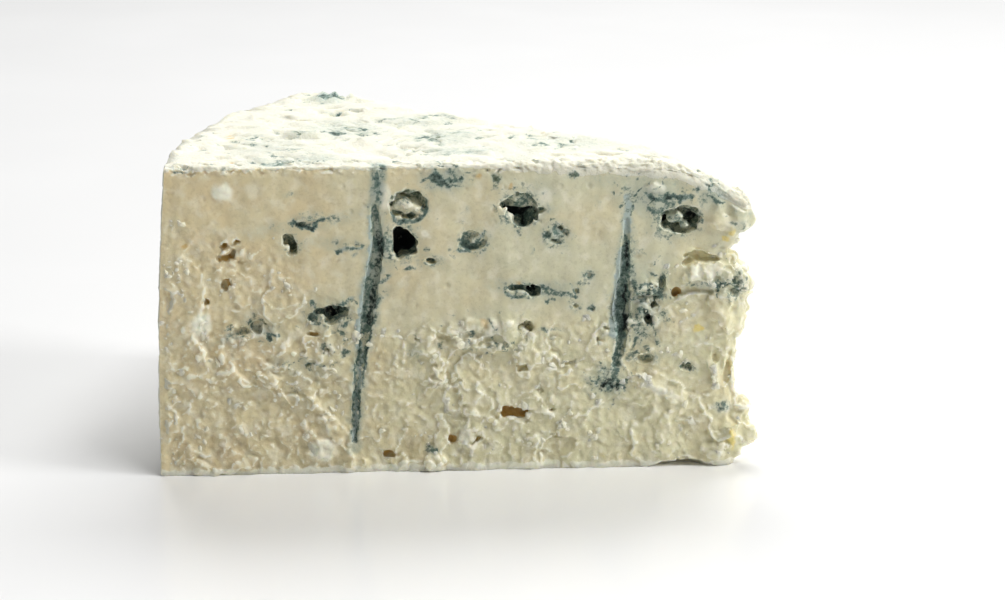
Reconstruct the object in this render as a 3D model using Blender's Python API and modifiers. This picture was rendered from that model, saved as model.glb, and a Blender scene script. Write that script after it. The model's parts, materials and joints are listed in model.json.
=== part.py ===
"""A wedge of blue-veined soft cheese, cut from the upper half of a small wheel.

The wedge stands on its flat underside. Its long knife cut faces -Y, its blunt tip points to +X and
its rind lies on the top and round the curved rim at -X. The modelling frame has the wheel's centre at
its origin, the long cut in the plane y = 0 and the underside at z = 0. At the end the mesh is moved so
that the origin is at the bottom centre of its own box.
"""

import math

import bmesh
import bpy
from mathutils import Matrix, Vector, noise

MM = 0.001

# Driving dimensions of the wedge
HEIGHT = 74 * MM  # half the height of the wheel, because the lower half was cut away
WHEEL_RADIUS = 125 * MM
RIM_SWEEP = math.radians(41.4)  # the arc of rind that the wedge keeps
TIP_X = 5 * MM  # the tip lies just past the wheel's centre
TIP_WIDTH = 5 * MM  # the tip is blunt
RIM_BULGE = 3.8 * MM  # the rim swells towards the middle of the wheel
RIM_EDGE_ROUND = 3.5 * MM
CUT_EDGE_ROUND = 1.2 * MM
TIP_DROOP = 9.6 * MM  # the top falls away over the last stretch before the tip
TIP_DROOP_LENGTH = 24 * MM
BACK_CORNER = (-84 * MM, 74 * MM)  # where the crust is puffed up
CRUST_PUFF = 1.1 * MM
BACK_CUT_BOW = 1.2 * MM

# Grain of the surfaces
CURD = 8.5 * MM  # size of the curd grains that a torn face breaks along
TORN_RELIEF = 0.95 * MM
SMOOTH_RELIEF = 0.12 * MM
RIND_RELIEF = 0.55 * MM
FAR_CALM = 0.4  # the far cut tore less
TORN_LINE = 45 * MM  # the knife left the face smooth above this height
FLAT_FOOT = 1.2 * MM  # everything below this height is pressed into the flat underside

# Mesh sizes
VOXEL = 0.95 * MM
FACES = 9800
PLAIN_SAVING = 0.00002  # how much sooner faces merge on the plain sides

# Eyes of the long cut: name, x, z, half width, half height, depth and lean in degrees
FRONT_EYES = (
    ("slit_eye", -70.8, 55.5, 3.2, 3.8, 9.0, 12),
    ("plugged_eye", -69.3, 64.8, 4.1, 3.5, 4.5, 0),
    ("cave", -43.4, 63.4, 4.1, 3.9, 9.0, 20),
    ("crater", -35.0, 57.3, 2.7, 2.4, 3.0, 0),
    ("shallow_crater", -54.4, 55.7, 3.1, 2.2, 2.0, 0),
    ("tall_pit", -96.1, 55.7, 1.7, 2.7, 4.0, -15),
    ("torn_pit", -109.0, 52.8, 3.4, 2.6, 3.5, 30),
    ("green_crack", -87.7, 38.8, 4.4, 2.2, 4.5, -12),
    ("black_eye", -40.7, 43.5, 1.8, 1.4, 4.0, 0),
    ("olive_eye", -43.0, 34.8, 1.8, 2.2, 3.0, 0),
    ("ochre_slot", -44.7, 14.3, 4.0, 1.6, 3.5, 0),
    ("low_hollow", -100.5, 17.5, 6.5, 5.0, 2.2, 0),
    ("tip_cavity", -6.0, 60.2, 4.9, 3.2, 4.5, -8),
    ("tip_undercut", -1.0, 50.5, 4.6, 2.2, 5.0, 5),
    ("vein_pit", -12.4, 37.6, 1.9, 2.2, 3.5, 0),
    ("foot_gap", -88.5, 0.4, 3.2, 1.2, 4.0, 0),
    ("lifted_foot", -5.5, 0.2, 8.0, 1.3, 4.0, 0),
    ("tip_notch", 8.6, 52.2, 3.6, 1.9, 9.0, 12),
)

# Eyes of the far cut, which the same needles and mould made: name, place along the cut, z and the rest
BACK_EYES = (
    ("far_eye", 34.0, 58.0, 3.6, 3.0, 6.0, 10),
    ("far_slit", 66.0, 49.0, 5.5, 1.9, 4.0, -20),
    ("far_pit", 92.0, 61.0, 2.6, 2.4, 4.0, 0),
    ("far_crater", 52.0, 31.0, 3.0, 2.6, 3.0, 0),
    ("far_low_pit", 101.0, 27.0, 3.8, 2.4, 3.5, 15),
    ("far_tip_pit", 15.0, 38.0, 2.2, 2.8, 3.0, 0),
)

# Slits in the rind just behind its edge: name, x, y, half length, half width, depth and turn in degrees
RIND_SLITS = (
    ("slit_near_cave", -35.0, 9.0, 4.2, 1.5, 1.9, -6),
    ("slit_mid", -23.5, 9.5, 5.2, 1.8, 2.1, -12),
    ("slit_tip", -13.5, 7.5, 3.2, 1.4, 1.8, -14),
    ("slit_rim", -86.0, 55.5, 3.4, 1.8, 1.6, 6),
    ("slit_middle", -62.0, 14.5, 4.4, 1.3, 1.6, 10),
)

# Needle channels that the long cut opened: the points x, z, radius and depth from the top down
RIM_SIDE_CHANNEL = (
    (-76.0, 70.5, 1.5, 0.3),
    (-78.2, 51.8, 1.7, 0.6),
    (-80.6, 26.0, 1.4, 0.6),
    (-83.3, 2.0, 0.9, 0.4),
)
TIP_SIDE_CHANNEL = ((-18.8, 60.0, 1.0, 0.3), (-20.2, 42.0, 1.6, 0.7), (-21.9, 16.0, 1.2, 0.4))
FRONT_CHANNELS = (("rim_side_channel", RIM_SIDE_CHANNEL), ("tip_side_channel", TIP_SIDE_CHANNEL))

# Needle channels of the far cut, with the place measured along that cut from the tip
FAR_RIM_CHANNEL = ((86.0, 70.0, 1.3, 0.3), (84.0, 40.0, 1.5, 0.5), (81.0, 6.0, 0.9, 0.4))
FAR_TIP_CHANNEL = ((27.0, 64.0, 1.1, 0.3), (25.5, 20.0, 1.4, 0.4))
FAR_CHANNELS = (("far_rim_channel", FAR_RIM_CHANNEL), ("far_tip_channel", FAR_TIP_CHANNEL))

# Lumps of paste that stand out: name, centre x, y, z, radii x, y, z and lean in degrees
LUMPS = (
    ("upper_lobe", 4.8, 3.2, 59.4, 5.8, 4.2, 5.6, 12),
    ("spiky_shelf", 3.4, 2.2, 47.0, 5.6, 3.6, 2.4, -10),
    ("cream_lump", 5.0, 2.6, 38.6, 5.4, 4.4, 6.6, 0),
    ("waist", 2.6, 3.0, 24.0, 4.6, 4.0, 8.0, 0),
    ("low_lobe", 6.4, 3.0, 8.4, 6.0, 4.6, 6.8, -14),
    ("egg_in_eye", -69.6, 2.6, 64.2, 2.6, 2.6, 2.1, 10),
    ("cave_flap", -45.8, 1.6, 60.6, 2.6, 1.8, 1.5, 35),
    ("foot_flake", -89.8, 0.4, 5.6, 4.0, 1.6, 3.2, 15),
    ("foot_lump", -84.0, 0.3, 3.2, 2.4, 1.6, 2.4, 0),
    ("foot_crumb", -64.2, 0.2, 2.6, 2.3, 1.3, 1.7, 0),
    ("torn_ridge", -98.5, 0.4, 20.5, 2.0, 1.1, 7.5, 34),
    ("mould_lump", -87.5, 72.5, 72.6, 7.0, 5.5, 2.2, 0),
    ("rind_lump", -93.5, 33.7, 74.0, 5.0, 4.0, 1.4, 0),
)


def clear_scene():
    """Removes the objects that a new file starts with."""
    for obj in list(bpy.data.objects):
        bpy.data.objects.remove(obj, do_unlink=True)


def plain_material(name, colour, roughness):
    """Returns a Principled material of one colour."""
    material = bpy.data.materials.new(name)
    material.use_nodes = True
    shader = material.node_tree.nodes["Principled BSDF"]
    shader.inputs["Base Color"].default_value = (*colour, 1.0)
    shader.inputs["Roughness"].default_value = roughness
    shader.inputs["Metallic"].default_value = 0.0
    return material


def new_collection(name):
    """Returns a new collection that is linked to the scene."""
    collection = bpy.data.collections.new(name)
    bpy.context.scene.collection.children.link(collection)
    return collection


def new_object(name, mesh_builder, collection):
    """Makes an object from a bmesh, which is freed."""
    mesh = bpy.data.meshes.new(name)
    bmesh.ops.recalc_face_normals(mesh_builder, faces=mesh_builder.faces)
    mesh_builder.to_mesh(mesh)
    mesh_builder.free()
    obj = bpy.data.objects.new(name, mesh)
    collection.objects.link(obj)
    return obj


def ease(low, high, value):
    """Returns 0 below low, 1 above high and a smooth rise between them."""
    t = min(max((value - low) / (high - low), 0.0), 1.0)
    return t * t * (3.0 - 2.0 * t)


def bell(value, centre, width):
    """Returns a smooth hump of height 1 round the centre."""
    return math.exp(-(((value - centre) / width) ** 2))


def back_cut():
    """Returns the tip end of the far cut, its direction towards the rim and its length."""
    tip = Vector((TIP_X, TIP_WIDTH, 0.0))
    corner = Vector((-math.cos(RIM_SWEEP), math.sin(RIM_SWEEP), 0.0)) * WHEEL_RADIUS
    along = corner - tip
    return tip, along.normalized(), along.length


def wedge_outline():
    """Returns the outline seen from above: the cut, the blunt tip, the far cut and the arc of rind."""
    tip_steps, cut_steps, arc_steps = 6, 24, 40
    points = []
    for step in range(cut_steps):
        points.append(Vector((-WHEEL_RADIUS + step / cut_steps * (WHEEL_RADIUS + TIP_X), 0.0, 0.0)))
    for step in range(tip_steps):
        angle = math.pi * (step / tip_steps - 0.5)
        reach = TIP_WIDTH / 2
        points.append(Vector((TIP_X + reach * math.cos(angle), reach + reach * math.sin(angle), 0.0)))
    tip, along, length = back_cut()
    outward = Vector((-along.y, along.x, 0.0)) * -1.0
    for step in range(cut_steps):
        share = step / cut_steps
        points.append(tip + along * (length * share) + outward * (BACK_CUT_BOW * math.sin(math.pi * share)))
    for step in range(arc_steps):
        angle = RIM_SWEEP * (1.0 - step / arc_steps)
        points.append(Vector((-math.cos(angle), math.sin(angle), 0.0)) * WHEEL_RADIUS)
    return points


def make_block(collection):
    """Extrudes the outline to the height of the wedge and rounds its upper edges."""
    builder = bmesh.new()
    corners = [builder.verts.new(point) for point in wedge_outline()]
    floor = builder.faces.new(corners)
    raised = bmesh.ops.extrude_face_region(builder, geom=[floor])
    top_verts = [item for item in raised["geom"] if isinstance(item, bmesh.types.BMVert)]
    bmesh.ops.translate(builder, verts=top_verts, vec=(0.0, 0.0, HEIGHT))
    top_edges = [edge for edge in builder.edges if all(vert.co.z > HEIGHT / 2 for vert in edge.verts)]
    rim_edges = [edge for edge in top_edges if is_on_rim(edge)]
    cut_edges = [edge for edge in top_edges if not is_on_rim(edge)]
    round_edges(builder, cut_edges, CUT_EDGE_ROUND, 2)
    rim_edges = [edge for edge in rim_edges if edge.is_valid]
    round_edges(builder, rim_edges, RIM_EDGE_ROUND, 5)
    bmesh.ops.triangulate(builder, faces=[face for face in builder.faces if len(face.verts) > 4])
    return new_object("cheese_wedge", builder, collection)


def is_on_rim(edge):
    """Tells whether both ends of an edge are on the arc of rind."""
    return all(math.hypot(vert.co.x, vert.co.y) > WHEEL_RADIUS - 0.5 * MM for vert in edge.verts)


def round_edges(builder, edges, radius, segments):
    """Bevels some edges with a round profile."""
    bmesh.ops.bevel(
        builder,
        geom=edges,
        offset=radius,
        offset_type="OFFSET",
        segments=segments,
        profile=0.5,
        affect="EDGES",
        material=-1,
        clamp_overlap=True,
    )


def blob(name, centre, radii, frame, collection, roughness=0.22):
    """Makes a knobbly ball: radii along the frame's axes, placed at the centre."""
    builder = bmesh.new()
    bmesh.ops.create_icosphere(builder, subdivisions=3, radius=1.0)
    for vert in builder.verts:
        knob = 1.0 + roughness * noise.noise(vert.co * 1.4 + centre / (7 * MM))
        vert.co = Vector((vert.co.x * radii[0], vert.co.y * radii[1], vert.co.z * radii[2])) * knob
    bmesh.ops.transform(builder, matrix=Matrix.Translation(centre) @ frame.to_4x4(), verts=builder.verts)
    raise_before_sinking(builder)
    return new_object(name, builder, collection)


def tube(name, points, collection):
    """Makes a run of tapering tubes with round joints through points of a place and a radius."""
    for index, ((start, start_radius), (end, end_radius)) in enumerate(zip(points, points[1:])):
        builder = bmesh.new()
        length = (end - start).length
        bmesh.ops.create_cone(
            builder, cap_ends=True, segments=14, radius1=start_radius, radius2=end_radius, depth=length
        )
        turn = (end - start).to_track_quat("Z", "Y").to_matrix().to_4x4()
        bmesh.ops.transform(
            builder, matrix=Matrix.Translation((start + end) / 2) @ turn, verts=builder.verts
        )
        raise_before_sinking(builder)
        new_object(f"{name}_{index}", builder, collection)
    for index, (place, radius) in enumerate(points):
        blob(f"{name}_joint_{index}", place, (radius * 1.05,) * 3, Matrix.Identity(3), collection, 0.1)


def front_frame():
    """Returns the tip-ward axis, the inward axis and the origin of the long cut."""
    return Vector((1.0, 0.0, 0.0)), Vector((0.0, 1.0, 0.0)), Vector((0.0, 0.0, 0.0))


def far_frame():
    """Returns the rim-ward axis, the inward axis and the origin of the far cut."""
    tip, along, length = back_cut()
    return along, Vector((-along.y, along.x, 0.0)), tip


def cut_eyes(rows, face_frame, collection):
    """Makes the cutters of the eyes of one cut face."""
    along, inward, origin = face_frame
    up = Vector((0.0, 0.0, 1.0))
    for name, place, z, half_width, half_height, depth, lean in rows:
        centre = origin + along * (place * MM) + up * (z * MM) + inward * (0.12 * depth * MM)
        basis = Matrix((along, inward, up)).transposed()
        turn = basis @ Matrix.Rotation(math.radians(lean), 3, "Y")
        blob(name, centre, (half_width * MM, depth * 0.88 * MM, half_height * MM), turn, collection)


def cut_channels(rows, face_frame, collection):
    """Makes the cutters of the needle channels of one cut face."""
    along, inward, origin = face_frame
    for name, stations in rows:
        points = []
        for place, z, radius, depth in stations:
            centre = origin + along * (place * MM) + Vector((0.0, 0.0, z * MM)) + inward * (depth * MM)
            points.append((centre, radius * MM))
        tube(name, points, collection)


def cut_rind_slits(collection):
    """Makes the cutters of the slits in the rind."""
    for name, x, y, half_length, half_width, depth, turn in RIND_SLITS:
        centre = Vector((x * MM, y * MM, HEIGHT))
        frame = Matrix.Rotation(math.radians(turn), 3, "Z")
        blob(name, centre, (half_length * MM, half_width * MM, depth * MM), frame, collection)


def add_lumps(collection):
    """Makes the lumps of paste and crust that stand out of the faces."""
    for name, x, y, z, radius_x, radius_y, radius_z, lean in LUMPS:
        centre = Vector((x, y, z)) * MM
        frame = Matrix.Rotation(math.radians(lean), 3, "Y")
        blob(name, centre, (radius_x * MM, radius_y * MM, radius_z * MM), frame, collection, 0.3)


def boolean_all(obj, operation, collection):
    """Joins a collection of closed meshes to the object, or cuts them from it, and applies that."""
    step = obj.modifiers.new(operation.lower(), "BOOLEAN")
    step.operation = operation
    step.operand_type = "COLLECTION"
    step.collection = collection
    step.solver = "EXACT"
    apply_modifiers(obj)


def apply_modifiers(obj):
    """Replaces the object's mesh by its evaluated mesh and drops its modifiers."""
    bpy.context.view_layer.update()
    evaluated = obj.evaluated_get(bpy.context.evaluated_depsgraph_get())
    mesh = bpy.data.meshes.new_from_object(evaluated)
    obj.modifiers.clear()
    old_mesh = obj.data
    obj.data = mesh
    bpy.data.meshes.remove(old_mesh)
    mesh.name = obj.name


def remove_collection(collection):
    """Removes a collection and the objects in it."""
    for obj in list(collection.objects):
        bpy.data.objects.remove(obj, do_unlink=True)
    bpy.data.collections.remove(collection)


def evenly_remesh(obj):
    """Rebuilds the surface from small even faces, so that relief can be pressed into it."""
    step = obj.modifiers.new("remesh", "REMESH")
    step.mode = "VOXEL"
    step.voxel_size = VOXEL
    step.adaptivity = 0.0
    apply_modifiers(obj)


def top_fall(point):
    """Returns how far the top has sunk at a place: it droops towards the tip and dips a little."""
    share = ease(TIP_X - TIP_DROOP_LENGTH, TIP_X + 8 * MM, point.x)
    dip = 0.5 * MM * noise.noise(Vector((point.x, point.y, 0.0)) / (24 * MM))
    return TIP_DROOP * share * share + dip


def puff(point):
    """Returns how far the crust is puffed up near the back corner."""
    return CRUST_PUFF * bell(point.x, BACK_CORNER[0], 12 * MM) * bell(point.y, BACK_CORNER[1], 12 * MM)


def sinking(point):
    """Returns how far a point inside the wedge goes down with the drooping top."""
    return (top_fall(point) - puff(point)) * ease(0.55, 1.0, point.z / HEIGHT)


def raise_before_sinking(builder):
    """Moves a mesh from its place in the finished wedge to its place before the top droops."""
    rounds = 8
    for vert in builder.verts:
        finished = vert.co.z
        for _ in range(rounds):
            vert.co.z = finished + sinking(vert.co)


def torn(point):
    """Returns 0 where the knife left the paste smooth and 1 where the paste tore."""
    line = TORN_LINE + 8 * MM * noise.noise(point / (16 * MM) + Vector((4.0, 0.0, 1.0)))
    line += 9 * MM * ease(-88 * MM, -108 * MM, point.x)
    line += 7 * MM * ease(-24 * MM, -6 * MM, point.x)
    return ease(line + 4 * MM, line - 4 * MM, point.z)


def curd_plates(point):
    """Returns the step and tilt, from about -1 to 1, of the broken curd grain at a point."""
    warp = noise.noise_vector(point / (5 * MM)) * (1.6 * MM)
    place = (point + warp) / CURD
    seed_point = noise.voronoi(place)[1][0]
    step = noise.cell(seed_point * 37.0 + Vector((0.5, 0.5, 0.5)))
    tilt = noise.cell_vector(seed_point * 19.0 + Vector((0.5, 0.5, 0.5))) - Vector((0.5, 0.5, 0.5))
    return 1.1 * step - 0.5 + 2.0 * tilt.dot(place - seed_point)


def ridges(point, size):
    """Returns ragged ridges, from about 0 to 1."""
    return 1.0 - abs(noise.noise(point / size)) - 0.5 * abs(noise.noise(point / size * 2.3))


def on_top(point):
    """Returns 1 in the rind of the top and 0 below it."""
    return ease(HEIGHT - 3.2 * MM, HEIGHT - 1.4 * MM, point.z)


def on_rim(point):
    """Returns 1 in the rind of the rim and 0 inside it."""
    return ease(WHEEL_RADIUS - 3 * MM, WHEEL_RADIUS - 1.2 * MM, math.hypot(point.x, point.y))


def in_rind(point):
    """Returns 1 in the rind of the top and of the rim, and 0 in the paste."""
    return max(on_top(point), on_rim(point))


def relief(point):
    """Returns how far the surface stands out of the smooth form at a point."""
    rind = in_rind(point)
    broken = torn(point) * (1.0 - rind)
    plates = TORN_RELIEF * (curd_plates(point) + 0.7 * ridges(point, 5 * MM) - 0.4)
    smooth = SMOOTH_RELIEF * noise.noise(point / (6 * MM))
    crust = RIND_RELIEF * (noise.noise(point / (9 * MM)) + 0.6 * noise.noise(point / (3.5 * MM)))
    crust *= 1.0 + on_rim(point)
    far = ease(2 * MM, 6 * MM, point.y)
    return broken * plates * (1.0 - FAR_CALM * far) + smooth + rind * crust


def sculpt(obj):
    """Gives the even mesh its bulge, droop and relief, and keeps the underside flat."""
    mesh = obj.data
    normals = [Vector(entry.vector) for entry in mesh.vertex_normals]
    moved = []
    for vert, normal in zip(mesh.vertices, normals):
        point = vert.co.copy()
        upper = min(max(point.z / HEIGHT, 0.0), 1.0)
        lift = ease(0.0, 6 * MM, point.z)
        out = normal * (relief(point) * (0.35 + 0.65 * lift))
        if point.z < FLAT_FOOT:
            out.z = 0.0
        radius = math.hypot(point.x, point.y)
        swell = RIM_BULGE * ease(80 * MM, WHEEL_RADIUS, radius) * (1.0 - upper**2.2)
        out += Vector((point.x, point.y, 0.0)) / max(radius, MM) * swell
        out.z -= sinking(point)
        moved.append(point + out)
    for vert, place in zip(mesh.vertices, moved):
        vert.co = place
        if place.z < FLAT_FOOT:
            vert.co.z = max(0.0, (place.z - FLAT_FOOT / 2) * 2.0)
    mesh.update()


def thin_out(obj):
    """Merges small faces where the surface is plain and on the sides that matter less."""
    group = obj.vertex_groups.new(name="plain")
    for vert in obj.data.vertices:
        front = ease(7 * MM, 2 * MM, vert.co.y) * ease(0.5 * MM, 2 * MM, vert.co.z)
        group.add([vert.index], 1.0 - 0.75 * front, "REPLACE")
    step = obj.modifiers.new("thin", "DECIMATE")
    step.decimate_type = "COLLAPSE"
    step.use_collapse_triangulate = True
    step.vertex_group = group.name
    step.vertex_group_factor = PLAIN_SAVING
    obj.data.calc_loop_triangles()
    step.ratio = FACES / len(obj.data.loop_triangles)
    apply_modifiers(obj)
    obj.vertex_groups.clear()


def centre_on_base(obj):
    """Moves the mesh so that the origin is at the bottom centre of its box."""
    places = [vert.co for vert in obj.data.vertices]
    low = Vector([min(place[axis] for place in places) for axis in range(3)])
    high = Vector([max(place[axis] for place in places) for axis in range(3)])
    middle = (low + high) / 2
    obj.data.transform(Matrix.Translation((-middle.x, -middle.y, -low.z)))


def main():
    """Builds the wedge."""
    clear_scene()
    wedge_collection = new_collection("blue_cheese_wedge")
    wedge = make_block(wedge_collection)

    lumps = new_collection("lumps")
    add_lumps(lumps)
    boolean_all(wedge, "UNION", lumps)
    remove_collection(lumps)

    cutters = new_collection("cutters")
    cut_eyes(FRONT_EYES, front_frame(), cutters)
    cut_eyes(BACK_EYES, far_frame(), cutters)
    cut_channels(FRONT_CHANNELS, front_frame(), cutters)
    cut_channels(FAR_CHANNELS, far_frame(), cutters)
    cut_rind_slits(cutters)
    boolean_all(wedge, "DIFFERENCE", cutters)
    remove_collection(cutters)

    evenly_remesh(wedge)
    sculpt(wedge)
    thin_out(wedge)
    centre_on_base(wedge)
    wedge.data.materials.clear()
    wedge.data.materials.append(plain_material("cream_paste", (0.60, 0.54, 0.38), 0.55))
    wedge.data.polygons.foreach_set("use_smooth", [True] * len(wedge.data.polygons))


main()
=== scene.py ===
"""Looks of a wedge of blue-veined soft cheese: paste, rind, mould, crumbs and the stage it stands on.

Shapes are worked out in millimetres in the plan of the wheel: the wheel's centre is the origin, the long
cut lies in the plane y = 0 and faces -Y, the blunt tip points to +X and the underside is at z = 0. Each
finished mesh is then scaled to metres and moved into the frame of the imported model.
"""

import json
import math

import bmesh
import bpy
import numpy as np
from bpy.props import FloatProperty, FloatVectorProperty, IntProperty, PointerProperty
from bpy.types import Operator, Panel, PropertyGroup
from mathutils import Matrix, Vector, noise

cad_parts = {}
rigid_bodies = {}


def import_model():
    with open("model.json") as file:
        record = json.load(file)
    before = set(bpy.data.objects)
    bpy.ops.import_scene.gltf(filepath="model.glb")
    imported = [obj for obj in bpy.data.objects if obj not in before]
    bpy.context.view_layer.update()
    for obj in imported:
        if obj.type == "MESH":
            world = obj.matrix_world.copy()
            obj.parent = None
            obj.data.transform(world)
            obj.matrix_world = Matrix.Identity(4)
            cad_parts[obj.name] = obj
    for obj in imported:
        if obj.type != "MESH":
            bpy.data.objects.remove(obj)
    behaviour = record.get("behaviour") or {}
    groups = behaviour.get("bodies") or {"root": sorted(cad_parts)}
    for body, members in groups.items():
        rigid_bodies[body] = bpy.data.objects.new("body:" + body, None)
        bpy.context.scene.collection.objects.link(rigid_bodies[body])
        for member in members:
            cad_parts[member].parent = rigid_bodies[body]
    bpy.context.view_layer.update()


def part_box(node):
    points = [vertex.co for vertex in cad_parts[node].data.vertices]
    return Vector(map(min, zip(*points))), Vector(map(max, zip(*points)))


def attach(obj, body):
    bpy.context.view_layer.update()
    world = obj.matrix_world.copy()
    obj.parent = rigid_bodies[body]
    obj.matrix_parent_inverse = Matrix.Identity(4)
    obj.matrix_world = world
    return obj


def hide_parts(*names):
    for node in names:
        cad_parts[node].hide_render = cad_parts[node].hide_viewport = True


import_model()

bl_info = {
    "name": "Blue cheese wedge",
    "version": (1, 0, 0),
    "blender": (4, 5, 0),
    "location": "3D View > Sidebar > Cheese",
    "description": "Builds a wedge of blue-veined cheese, its crumbs and its stage",
    "category": "Object",
}

MM = 0.001

# Where the plan's own box starts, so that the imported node's box tells where the plan lies
PLAN_LOW = (-129.913, -2.531)

# The wedge, in millimetres
HEIGHT = 74.0
WHEEL_RADIUS = 125.0
RIM_SWEEP = math.radians(41.4)
TIP_X = 5.0
TIP_WIDTH = 5.0
RIM_BULGE = 3.0
RIM_EDGE_ROUND = 3.5
TIP_DROOP = 9.6
TIP_DROOP_LENGTH = 24.0
BACK_CORNER = (-84.0, 74.0)
CRUST_PUFF = 1.1
BACK_CUT_BOW = 1.2
FLAT_FOOT = 0.5

# Where the lights and the camera point, in the plan's millimetres
LIT_POINT = (-55.0, 30.0, 35.0)
SEEN_POINT = (-47.6, 0.0, 41.7)

# What lines an eye, a channel or a mark: how much of each tint it has
LININGS = {
    # Black lines the depths of an eye with near-black: painted shade over dark mould
    "black": {"mould": 0.95, "veil": 1.0, "black": 1.0, "powder": 0.35},
    "teal": {"mould": 0.85, "veil": 1.0, "powder": 0.5},
    "green": {"mould": 0.8, "olive": 0.5, "veil": 0.8, "powder": 0.4},
    "olive": {"mould": 0.5, "olive": 1.0},
    "grey": {"mould": 0.45, "veil": 1.0, "powder": 0.4},
    "net": {"net": 1.0, "veil": 0.7, "powder": 0.35},
    "veil": {"veil": 0.7, "powder": 0.3},
    "powder": {"veil": 0.6, "powder": 1.0},
    "chip": {"chip": 1.0},
    "ochre": {"ochre": 1.0},
    # Tan is also laid as painted warm shade under overhangs and beside pale chips
    "tan": {"ochre": 0.4},
    "yellow": {"yellow": 1.0},
    "plain": {},
}
TINTS = ("mould", "veil", "ochre", "olive", "black", "yellow", "powder", "net", "chip")

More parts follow.
